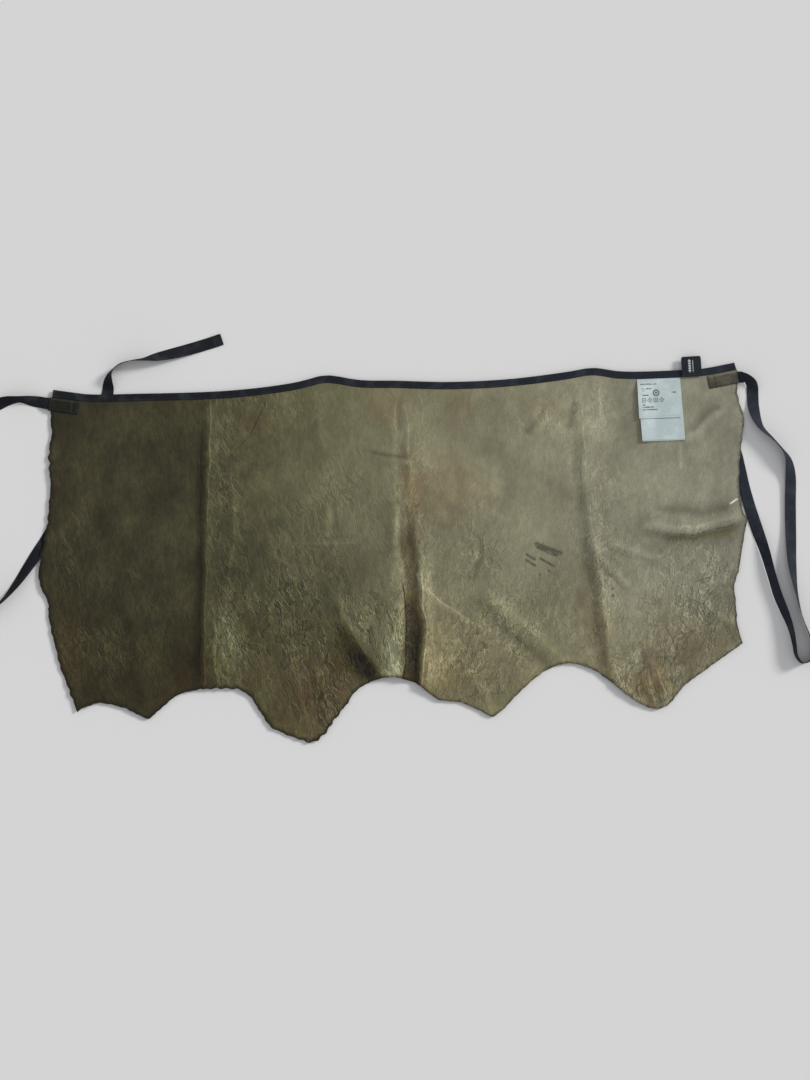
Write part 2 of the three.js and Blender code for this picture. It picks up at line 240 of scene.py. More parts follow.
class Wire:
    # A socket in a material. Arithmetic on wires adds Math nodes.
    def __init__(self, tree, socket=None):
        self.tree, self.socket = tree, socket

    def add(self, kind, settings=None, inputs=None, out=0):
        # a node with its settings, its inputs linked or set, and the wire of one output
        node = self.tree.nodes.new(kind)
        for key, value in (settings or {}).items():
            if key == "stops":
                ramp = node.color_ramp
                while len(ramp.elements) < len(value):
                    ramp.elements.new(1)
                for element, (position, colour) in zip(ramp.elements, value):
                    element.position, element.color = position, colour
            else:
                setattr(node, key, value)
        for key, value in (inputs or {}).items():
            if isinstance(value, Wire):
                self.tree.links.new(value.socket, node.inputs[key])
            else:
                node.inputs[key].default_value = value
        return Wire(self.tree, node.outputs[out] if node.outputs else None)

    def math(self, operation, *values):
        # one Math node over the values
        return self.add("ShaderNodeMath", {"operation": operation}, dict(enumerate(values)))

    def __add__(self, other): return self.math("ADD", self, other)
    def __radd__(self, other): return self.math("ADD", other, self)
    def __sub__(self, other): return self.math("SUBTRACT", self, other)
    def __rsub__(self, other): return self.math("SUBTRACT", other, self)
    def __mul__(self, other): return self.math("MULTIPLY", self, other)
    def __rmul__(self, other): return self.math("MULTIPLY", other, self)
    def __truediv__(self, other): return self.math("DIVIDE", self, other)
    def __pow__(self, other): return self.math("POWER", self, other)
    def __abs__(self): return self.math("ABSOLUTE", self)


def smooth(wire, low, high):
    # 0 below low, 1 above high, and smooth between; falls instead if low is above high
    if low > high:
        return 1 - smooth(wire, high, low)
    settings = {"interpolation_type": "SMOOTHSTEP"}
    return wire.add("ShaderNodeMapRange", settings, {0: wire, 1: low, 2: high})


def mixColour(wire, share, first, second, blend="MIX"):
    # first times what is left of share, plus second times share; or the other blend asked for
    return wire.add("ShaderNodeMix", {"data_type": "RGBA", "blend_type": blend},
                    {0: share, 6: first, 7: second}, out=2)


def noise(wire, where, scale, detail=2.0, roughness=0.5, stretch=(1, 1, 1)):
    # about 0 to 1
    placed = wire.add("ShaderNodeMapping", {}, {0: where, 3: stretch})
    return wire.add("ShaderNodeTexNoise", {}, {"Vector": placed, "Scale": scale, "Detail": detail,
                                               "Roughness": roughness})


def cracks(wire, where, scale, stretch=(1, 1, 1), randomness=1.0):
    # distance from the lines of an uneven net, 0 on a line
    placed = wire.add("ShaderNodeMapping", {}, {0: where, 3: stretch})
    return wire.add("ShaderNodeTexVoronoi", {"feature": "DISTANCE_TO_EDGE"},
                    {"Vector": placed, "Scale": scale, "Randomness": randomness})


def leaning(paint, x, y, lean, along):
    # flat coordinates turned by lean degrees and then squeezed along their second axis
    c, s = cos(radians(lean)), sin(radians(lean))
    return paint.add("ShaderNodeCombineXYZ", {}, {0: x * c + y * s, 1: (y * c - x * s) * along})


def startMaterial(name):
    # an empty material and the wire that adds nodes to it
    material = bpy.data.materials.new(name)
    material.use_nodes = True
    material.node_tree.nodes.clear()
    return material, Wire(material.node_tree)


def weaveOf(paint):
    # the two coordinates of the piece's own UV map
    u, v, _ = parts(paint, paint.add("ShaderNodeUVMap", {"uv_map": "weave"}))
    return u, v


def objectPlace(paint):
    # the place on the object, in metres
    return paint.add("ShaderNodeTexCoord", {}, {}, out=3)


def endMaterial(material, paint, colour, roughness, height=None, bump=0.3, depth=0.001, fixed=None):
    # height is in units of depth, in metres
    inputs = {"Base Color": colour, "Roughness": roughness, **(fixed or {})}
    if height is not None:
        inputs["Normal"] = paint.add("ShaderNodeBump", {}, {"Strength": bump, "Distance": depth, "Height": height})
    shader = paint.add("ShaderNodeBsdfPrincipled", {}, inputs)
    paint.add("ShaderNodeOutputMaterial", {}, {"Surface": shader})
    return material


def parts(paint, vector):
    # the X, Y and Z of a vector
    split = paint.add("ShaderNodeSeparateXYZ", {}, {0: vector})
    return [Wire(paint.tree, split.socket.node.outputs[i]) for i in range(3)]


view = {"centre": (15.6 * mm, 13 * mm), "height": 2.4, "seen": 1404 * mm, "sensor": 36}
camera = bpy.data.cameras.new("camera")
camera.sensor_width = view["sensor"]
camera.lens = view["sensor"] * view["height"] / view["seen"]
cameraObject = bpy.data.objects.new("camera", camera)
cameraObject.location = (*view["centre"], view["height"])
bpy.context.scene.collection.objects.link(cameraObject)
bpy.context.scene.camera = cameraObject

light = {
    "sunStrength": 2.75, "sunSpread": 14, "sunBearing": 28, "sunHeight": 27, "sunColour": (1.0, 0.985, 0.96),
    "skyStrength": 0.62, "skyColour": (0.96, 0.98, 1.0), "floorColour": tone(212, 211, 211),
}


def addLight():
    # a wide low sun, turned towards its bearing and height, and an even pale sky
    sun = bpy.data.lights.new("windowLight", "SUN")
    sun.energy, sun.angle, sun.color = light["sunStrength"], radians(light["sunSpread"]), light["sunColour"]
    sunObject = bpy.data.objects.new("windowLight", sun)
    bearing, height = radians(light["sunBearing"]), radians(light["sunHeight"])
    toSun = Vector((cos(height) * cos(bearing), cos(height) * sin(bearing), sin(height)))
    sunObject.rotation_euler = toSun.to_track_quat("Z", "Y").to_euler()
    sunObject.location = toSun * 2
    bpy.context.scene.collection.objects.link(sunObject)
    world = bpy.data.worlds.new("studio")
    world.use_nodes = True
    background = world.node_tree.nodes["Background"]
    background.inputs["Color"].default_value = (*light["skyColour"], 1)
    background.inputs["Strength"].default_value = light["skyStrength"]
    bpy.context.scene.world = world
    bpy.context.scene.view_settings.view_transform = "Standard"


def addFloor():
    # one large square a little below the part
    material, paint = startMaterial("paleFloor")
    endMaterial(material, paint, light["floorColour"], 0.9)
    size, below = 40.0, 0.3 * mm
    corners = np.array([(-1, -1, 0), (1, -1, 0), (1, 1, 0), (-1, 1, 0)]) * size
    corners[:, 2] = -below
    makePiece("floor", corners, [(0, 1, 2, 3)], material)


addLight()
addFloor()
print("camera, floor and light are in place")


def rimOfHide():
    # points that the CAD hide's upper face shares with its side walls, in order round a point that sees them all
    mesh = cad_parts["hide"].data
    mesh.calc_loop_triangles()
    co = np.zeros(len(mesh.vertices) * 3)
    mesh.vertices.foreach_get("co", co)
    triangles = np.zeros(len(mesh.loop_triangles) * 3, int)
    mesh.loop_triangles.foreach_get("vertices", triangles)
    corner = co.reshape(-1, 3)[triangles.reshape(-1, 3)]
    normal = np.cross(corner[:, 1] - corner[:, 0], corner[:, 2] - corner[:, 0])
    rise = normal[:, 2] / np.maximum(np.linalg.norm(normal, axis=1), 1e-15)
    steps = 1e5  # points are matched to a hundredth of a millimetre
    upper = {tuple(p) for p in np.round(corner[rise > 0.5].reshape(-1, 3) * steps).astype(int)}
    walls = {tuple(p) for p in np.round(corner[np.abs(rise) < 0.3].reshape(-1, 3) * steps).astype(int)}
    rim = np.array(sorted(upper & walls))[:, :2] / steps
    inside = np.array([0, 0.14])
    bearing = np.arctan2(*(rim - inside).T[::-1])
    return rim[np.argsort(-bearing)]  # clockwise


def sidesOfHide():
    # the rim cut at its four outermost corners, with each side spaced evenly and smoothed
    rim = rimOfHide()
    x, y = rim.T
    topLeft, topRight, lowRight, lowLeft = (np.argmax(v) for v in (y - x, x + y, x - y, -x - y))

    def between(a, b):
        return rim[a:b + 1] if a <= b else np.concatenate([rim[a:], rim[:b + 1]])

    waist, right = between(topLeft, topRight), between(topRight, lowRight)
    hem, left = between(lowRight, lowLeft)[::-1], between(lowLeft, topLeft)
    return [soften(evenly(side, 1200), 12) for side in (waist, right[::-1], hem, left)]


waistEdge, rightEdge, hemEdge, leftEdge = sidesOfHide()
thickness = 1.2 * mm
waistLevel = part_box("waist_binding")[0].z + 1.0 * mm  # the hide's underside inside the binding
print("the outline is read from the frame")


drapeLook = {
    "slack": 2.2, "tieHump": 2.0, "broadWave": 1.5, "smallWave": 0.4, "wrinkle": 0.32,
    # old folds and creases, in millimetres: points, height, and spread to the left and right of the line
    "creases": [
        ([(-246, -236), (-243, -45), (-240, 60), (-238, 140), (-239, 232)], 3.2, 11, 62),
        ([(-227, -177), (-230, -118), (-220, -85), (-215, -45), (-207, 15), (-207, 61), (-212, 121)], 1.1, 9, 15),
        ([(3, 70), (3, 130), (3, 206)], 0.6, 20, 5), ([(26, 55), (21, 124), (16.5, 212)], 0.9, 6, 24),
        ([(6, -14), (5, 30), (4, 62)], 1.3, 16, 6),
        ([(8, -204), (16.5, -134), (18, -104), (15.6, -71), (12, -42), (8, -10)], 5.0, 60, 7),
        ([(18, -200), (-42, -128), (-68, -81), (-84, -40)], 3.6, 15, 52),
        ([(30, -214), (41, -134), (43, -97), (38, -71), (36, -38), (35, 2), (29, 50)], 5.2, 10, 60),
        ([(50, -172), (48, -80), (46, 0)], 0.7, 4, 9),
        ([(296, -214), (282, -155), (276, -92), (269, -45), (264, -9), (257, 34)], 3.6, 15, 56),
        ([(272, -60), (257, 24), (252, 74), (246, 140), (242, 232)], 1.5, 12, 40),
        ([(269, 160), (269, 216)], 0.6, 6, 9), ([(226, 156), (238, 196)], -0.9, 9, 9),
        ([(258, 2), (284, -25), (310, -52)], 1.0, 9, 8), ([(274, 10), (310, 0), (354, -13)], 0.9, 9, 8),
        ([(318, 32), (350, 28), (390, 26), (423, 34), (462, 46)], 3.2, 28, 10),
        ([(340, 54), (400, 48), (444, 58)], -1.0, 14, 10),
        ([(374, 138), (404, 166), (430, 186)], 1.3, 10, 14), ([(385, 150), (404, 172), (426, 190)], -1.0, 10, 8),
        ([(373, 142), (373, 102)], 0.4, 4, 4), ([(38, -48), (68, -73), (101, -97)], 0.9, 7, 8),
        ([(92, -56), (150, -106), (226, -170)], -1.7, 20, 22), ([(116, -48), (172, -98), (240, -158)], 0.9, 18, 14),
        ([(90, 27), (107, 9), (110, -10), (97, -38)], 1.5, 5, 13),
        ([(209, 200), (190, 174), (172, 148)], -1.0, 12, 12), ([(344, -200), (322, -160), (304, -124)], 1.4, 9, 14),
        ([(362, -192), (345, -160), (332, -140)], 1.0, 8, 10),
        ([(-108, -250), (-116, -200), (-130, -150), (-128, -96)], 1.6, 18, 22),
        ([(-78, -228), (-90, -186), (-104, -142)], 1.3, 9, 13),
        ([(-318, -222), (-322, -180), (-332, -120), (-350, -50)], 1.6, 24, 30),
        ([(129, -217), (116, -182), (92, -150)], 1.2, 12, 16), ([(448, -97), (424, -84), (398, -60)], 1.0, 12, 14),
        ([(-90, 226), (-96, 170), (-88, 120)], 0.9, 20, 16), ([(-150, 206), (-132, 182), (-118, 150)], 0.8, 10, 14),
        ([(-352, -24), (-318, -46)], 0.8, 8, 8), ([(-83, 64), (-84, 40), (-82, 14)], 0.8, 6, 9),
        ([(-112, 10), (-40, 10)], 0.5, 5, 5), ([(-34, 128), (24, 118)], -0.6, 5, 5),
        ([(-392, -98), (-368, -136)], 0.7, 7, 7), ([(-454, -30), (-436, 14), (-424, 70)], 1.0, 16, 22),
    ],
}


def waistBelow(x, y):
    # how far a place lies under the waist edge
    return np.interp(x, *waistEdge.T) - y


def wander(x, y):
    # a place moved a little by noise, so that no crease runs straight
    return x + 4.4 * grain(x / 38, y / 31, 21), y + 3.6 * grain(x / 27, y / 33, 22)


def creaseHeight(x, y):
    # each crease has a narrow round crest, falls as the square of what is left of its spread, and fades at its ends
    x, y = wander(x, y)
    total = np.zeros(np.shape(x))
    uneven = 0.85 + 0.6 * grain(x / 31, y / 31, 23)
    for points, height, left, right in drapeLook["creases"]:
        signed, share = distanceTo(x, y, points)
        spread = np.where(signed > 0, left, right)
        crest = 2.2
        fall = np.clip(1 - (np.sqrt(signed**2 + crest**2) - crest) / spread, 0, 1) ** 2
        total += height * fall * step(0, 0.2, share + 0.02) * step(0, 0.2, 1.02 - share)
    return total * uneven


def wrinkleHeight(x, y):
    # long thin ridges, mostly up and down, that lean one way and the other and are strongest low on the hide
    warpX = x + 14 * grain(x / 62, y / 62, 11) + 0.25 * y
    warpY = y + 10 * grain(x / 55, y / 70, 12)
    first = np.clip(1 - 2.6 * np.abs(grain(warpX / 11, warpY / 40, 13)), 0, 1) ** 2
    second = np.clip(1 - 2.6 * np.abs(grain((warpX - 0.7 * warpY) / 13, warpY / 30, 14)), 0, 1) ** 2
    low = step(90, -90, y)
    patchy = step(-0.25, 0.35, grain(x / 85, y / 85, 15))
    return drapeLook["wrinkle"] * (0.15 + 0.85 * low) * (0.3 + 0.7 * patchy) * (first + 0.8 * second)


def drape(x, y, rim=None):
    # height in metres of the hide's underside over the floor at a place in metres
    px, py = x / mm, y / mm
    below = waistBelow(x, y) / mm
    free = step(8, 70, below)
    waves = (drapeLook["slack"] + drapeLook["broadWave"] * grain(px / 95, py / 120, 3)
             + drapeLook["smallWave"] * grain(px / 34, py / 46, 4))
    lying = waves + creaseHeight(px, py) + wrinkleHeight(px, py)
    if rim is not None:  # raw edges curl a little, unevenly
        curl = step(16 * mm, 0, rim)
        lying += curl * (1.1 * grain(px / 21, py / 21, 6) + 0.9 * step(0, 0.5, grain(px / 48, py / 48, 7)))
    lying = np.maximum(lying, 0.15)
    near = [np.abs(distanceTo(px, py, hidden)[0]) for hidden in (hiddenLeft, hiddenRight)]
    overTie = step(26, 8, np.minimum(*near))
    lying = np.maximum(lying, overTie * drapeLook["tieHump"] + (1 - overTie) * lying)
    nearWaist = waistLevel / mm + 0.25 * (lying - drapeLook["slack"]) * step(4, 20, below)
    return (nearWaist * (1 - free) + lying * free) * mm


leftTie = {
    "route": [
        (11, -1.5, 0), (0, 0, 0), (-20.5, 3, 0), (-36.5, 5.7, 22), (-57.5, 8.2, 60), (-73, 6.4, 40),
        (-83.5, 2.7, 16), (-114, -15, 0), (-137, -49, 0), (-149, -98, 0), (-152, -155, 0), (-147, -207, 10),
        (-134, -247, 40), (-116, -267, 72), (-99, -268, 78), (-83.5, -257, 72), (-63.5, -234, 48),
        (-47, -210, 24), (-34, -190, 6), (-23.5, -174, 0), (-5.5, -142, 0), (20, -90, 0), (42, -40, 0),
        (54, 2, 0), (57, 20, 2), (58.5, 34, 38), (63, 45.5, 74), (73, 54, 84), (87, 58.5, 82),
        (104, 60.5, 70), (122, 63.7, 38), (154.5, 71.4, 10), (189.5, 81.7, 0), (204.5, 86.7, 0),
    ],
    "drop": (30, 66), "hidden": (19, 24),
}
rightTie = {
    "route": [
        (-11, -1.6, 0), (0, 0, 0), (20, 2.9, -8), (30, 1.5, -50), (37, -5.5, -32), (39, -17.5, -4),
        (40, -34.5, 6), (44, -51.5, 34), (50, -63, 56), (65, -77.5, 72), (78, -92.5, 70), (85, -106, 44),
        (88, -125, 18), (88, -161, 10), (88.5, -201, 14), (90, -241, 36), (95, -276, 66), (103, -309, 80),
        (112, -333, 84), (116, -349, 85), (113, -364, 85), (103, -368, 85), (95, -359, 84), (92, -343, 80),
        (87.5, -322.5, 70), (79, -299.5, 55), (71, -280, 50), (63, -254, 52), (54, -222.5, 40),
        (45, -195.5, 18), (35.5, -165.5, 0), (28, -139.5, 0), (23, -117.5, 0), (16, -91, 0), (3, -68, 0),
        (-18, -53, 0), (-46, -45, 0), (-78, -42, 0), (-112, -43, 0), (-152, -48, 0),
    ],
    "drop": (34, 62), "hidden": (30, 39),
}
tapeLook = {"width": 15, "thickness": 0.8, "hem": 13, "rows": 760, "seam": 3.5, "count": 5, "stitch": 2.3,
            "thread": 0.26}


def waistSlope(x):
    # direction of the waist edge near x
    ends = np.interp([x - 12 * mm, x + 12 * mm], *waistEdge.T)
    return np.arctan2(ends[1] - ends[0], 24 * mm)


def middleOf(node):
    # half the sum of the box corners of a CAD node
    low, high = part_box(node)
    return (low + high) / 2


def hiddenStretch(tie, tab):
    # the points of a tie that lie under the hide, in millimetres
    first, last = tie["hidden"]
    return [(tab.x / mm + x, tab.y / mm + y) for x, y, _ in tie["route"][first:last + 1]]


hiddenLeft = hiddenStretch(leftTie, middleOf("left_tab"))
hiddenRight = hiddenStretch(rightTie, middleOf("right_tab"))


def tieLine(tie, tab):
    # the centre line in metres and the turn in radians: a smooth curve in plan that comes down from the hide to the
    # floor, raised by half the height of the tape where it is turned up on its edge
    plan = evenly(throughPoints(tie["route"]), tapeLook["rows"])
    along = lineLength(plan[:, :2])
    turn = np.radians(plan[:, 2])
    sewn = waistLevel / mm + thickness / mm + 0.3 + tapeLook["thickness"] / 2
    down = step(*tie["drop"], along)
    onFloor = tapeLook["thickness"] / 2 * np.abs(np.cos(turn)) + tapeLook["width"] / 2 * np.abs(np.sin(turn))
    height = np.maximum(onFloor, sewn * (1 - down) + tapeLook["thickness"] / 2 * down)
    hemmed = step(along[-1] - tapeLook["hem"] - 7, along[-1] - tapeLook["hem"] + 1, along)
    height += hemmed * 1.08 * tapeLook["thickness"]
    line = np.stack([plan[:, 0] * mm + tab.x, plan[:, 1] * mm + tab.y, height * mm], axis=1)
    return line, turn


def tapeProfile():
    # across the tape: nearly flat faces, thinner towards rounded selvedges
    across = np.linspace(-1, 1, 13)
    half = (1 - 0.35 * np.abs(across) ** 6) * np.where(np.abs(across) == 1, 0.45, 1)
    width, thick = tapeLook["width"] / 2 * mm, tapeLook["thickness"] / 2 * mm
    lower = np.stack([across * width, -half * thick], axis=1)
    upper = np.stack([across * width, half * thick], axis=1)[::-1]
    return np.concatenate([lower, upper])


def tapeFrames(line, turn):
    # directions along the line, across the tape and out of its face, the last two turned about the first
    ahead = headings(line)
    level = np.stack([ahead[:, 1], -ahead[:, 0], np.zeros_like(turn)], axis=1)
    level /= np.linalg.norm(level, axis=1)[:, None]
    upright = np.cross(level, ahead)
    across = level * np.cos(turn)[:, None] + upright * np.sin(turn)[:, None]
    return across, np.cross(across, ahead), ahead


def foldUnder(line, across, face, ahead):
    # at the free end the tape turns down through half a circle and runs back under itself for the depth of the hem
    radius = tapeLook["thickness"] * 0.54 * mm
    turn = np.linspace(0, np.pi, 9)[1:, None]
    end, out, up, side = line[-1], ahead[-1], face[-1], across[-1]
    bend = end + out * np.sin(turn) * radius - up * (1 - np.cos(turn)) * radius
    back = np.linspace(0, tapeLook["hem"] * mm, 9)[1:, None]
    under = end - up * 2 * radius - out * back
    more = np.concatenate([bend, under])
    heading = np.concatenate([out * np.cos(turn) - up * np.sin(turn), np.zeros_like(back) - out])
    sides = np.zeros_like(more) + side
    return (np.concatenate([line, more]), np.concatenate([across, sides]),
            np.concatenate([face, np.cross(sides, heading)]))


def tapeMaterial(name, dark, pale):
    # twill: slanting ribs along the tape, darker between them, a plain selvedge, and a little lint; darker towards
    # the left end as painted shade
    material, paint = startMaterial(name)
    u, v = weaveOf(paint)
    where = objectPlace(paint)
    x, _, _ = parts(paint, where)
    rib = paint.math("SINE", (v * 1.0 + u * 1.6) * (2 * np.pi / (0.95 * mm)))
    pick = paint.math("SINE", u * (2 * np.pi / (0.5 * mm)))
    lint = noise(paint, where, 900, 3, 0.6)
    patch = noise(paint, where, 60, 3, 0.55)
    # darker at the left end and paler at the right: painted shade for light falling from the right
    shade = smooth(x, -460 * mm, 440 * mm)
    base = mixColour(paint, shade, dark, pale)
    lit = mixColour(paint, smooth(rib + 0.35 * pick + 2.2 * (lint - 0.5), -0.9, 1.3), tone(9, 10, 13), base)
    worn = mixColour(paint, 0.14 * smooth(patch, 0.46, 0.7) + 0.10 * lint, lit, tone(84, 90, 100))
    height = 0.5 * rib + 0.25 * pick + 0.8 * lint
    return endMaterial(material, paint, worn, 0.86 - 0.12 * lint, height, 0.5, 0.25 * mm,
                       {"Specular IOR Level": 0.15})


# each tape's colour at its left end and at its right end: the darker left one is painted shade
navyTwill = tapeMaterial("navyTwill", tone(20, 21, 27), tone(46, 52, 63))
bindingTwill = tapeMaterial("bindingTwill", tone(12, 15, 19), tone(40, 45, 57))


def addTie(side, tie):
    # the tape on its route with its folded hem, and a row of stitches over the hem
    tab = middleOf(side + "_tab")
    line, turn = tieLine(tie, tab)
    across, face, ahead = tapeFrames(line, turn)
    along = lineLength(line)
    piece = sweep(side + "TieTape", *foldUnder(line, across, face, ahead), tapeProfile(), navyTwill)
    attach(piece, "apron", side + "_tie")
    seamAt = np.searchsorted(along, along[-1] - (tapeLook["hem"] - tapeLook["seam"]) * mm)
    count = tapeLook["count"]
    spread = np.linspace(-0.36, 0.36, count)[:, None] * tapeLook["width"] * mm
    seam = line[seamAt] + across[seamAt] * spread + face[seamAt] * (tapeLook["thickness"] / 2 * mm)
    ones = np.ones((count, 1))
    row = stitches(side + "TieEndStitches", seam, ones * across[seamAt], ones * face[seamAt],
                   tapeLook["stitch"] * mm, tapeLook["thread"] * mm, darkThread)
    attach(row, "apron", side + "_tie_end_thread")


def threadMaterial(name, colour, glint):
    # spun thread: fine slanting plies
    material, paint = startMaterial(name)
    where = objectPlace(paint)
    ply = noise(paint, where, 2600, 2, 0.5, (1, 2.4, 1))
    return endMaterial(material, paint, mixColour(paint, smooth(ply, 0.35, 0.7), colour, glint), 0.6, ply, 0.4,
                       0.1 * mm)


darkThread = threadMaterial("darkThread", tone(12, 13, 16), tone(60, 64, 72))

addTie("left", leftTie)
addTie("right", rightTie)


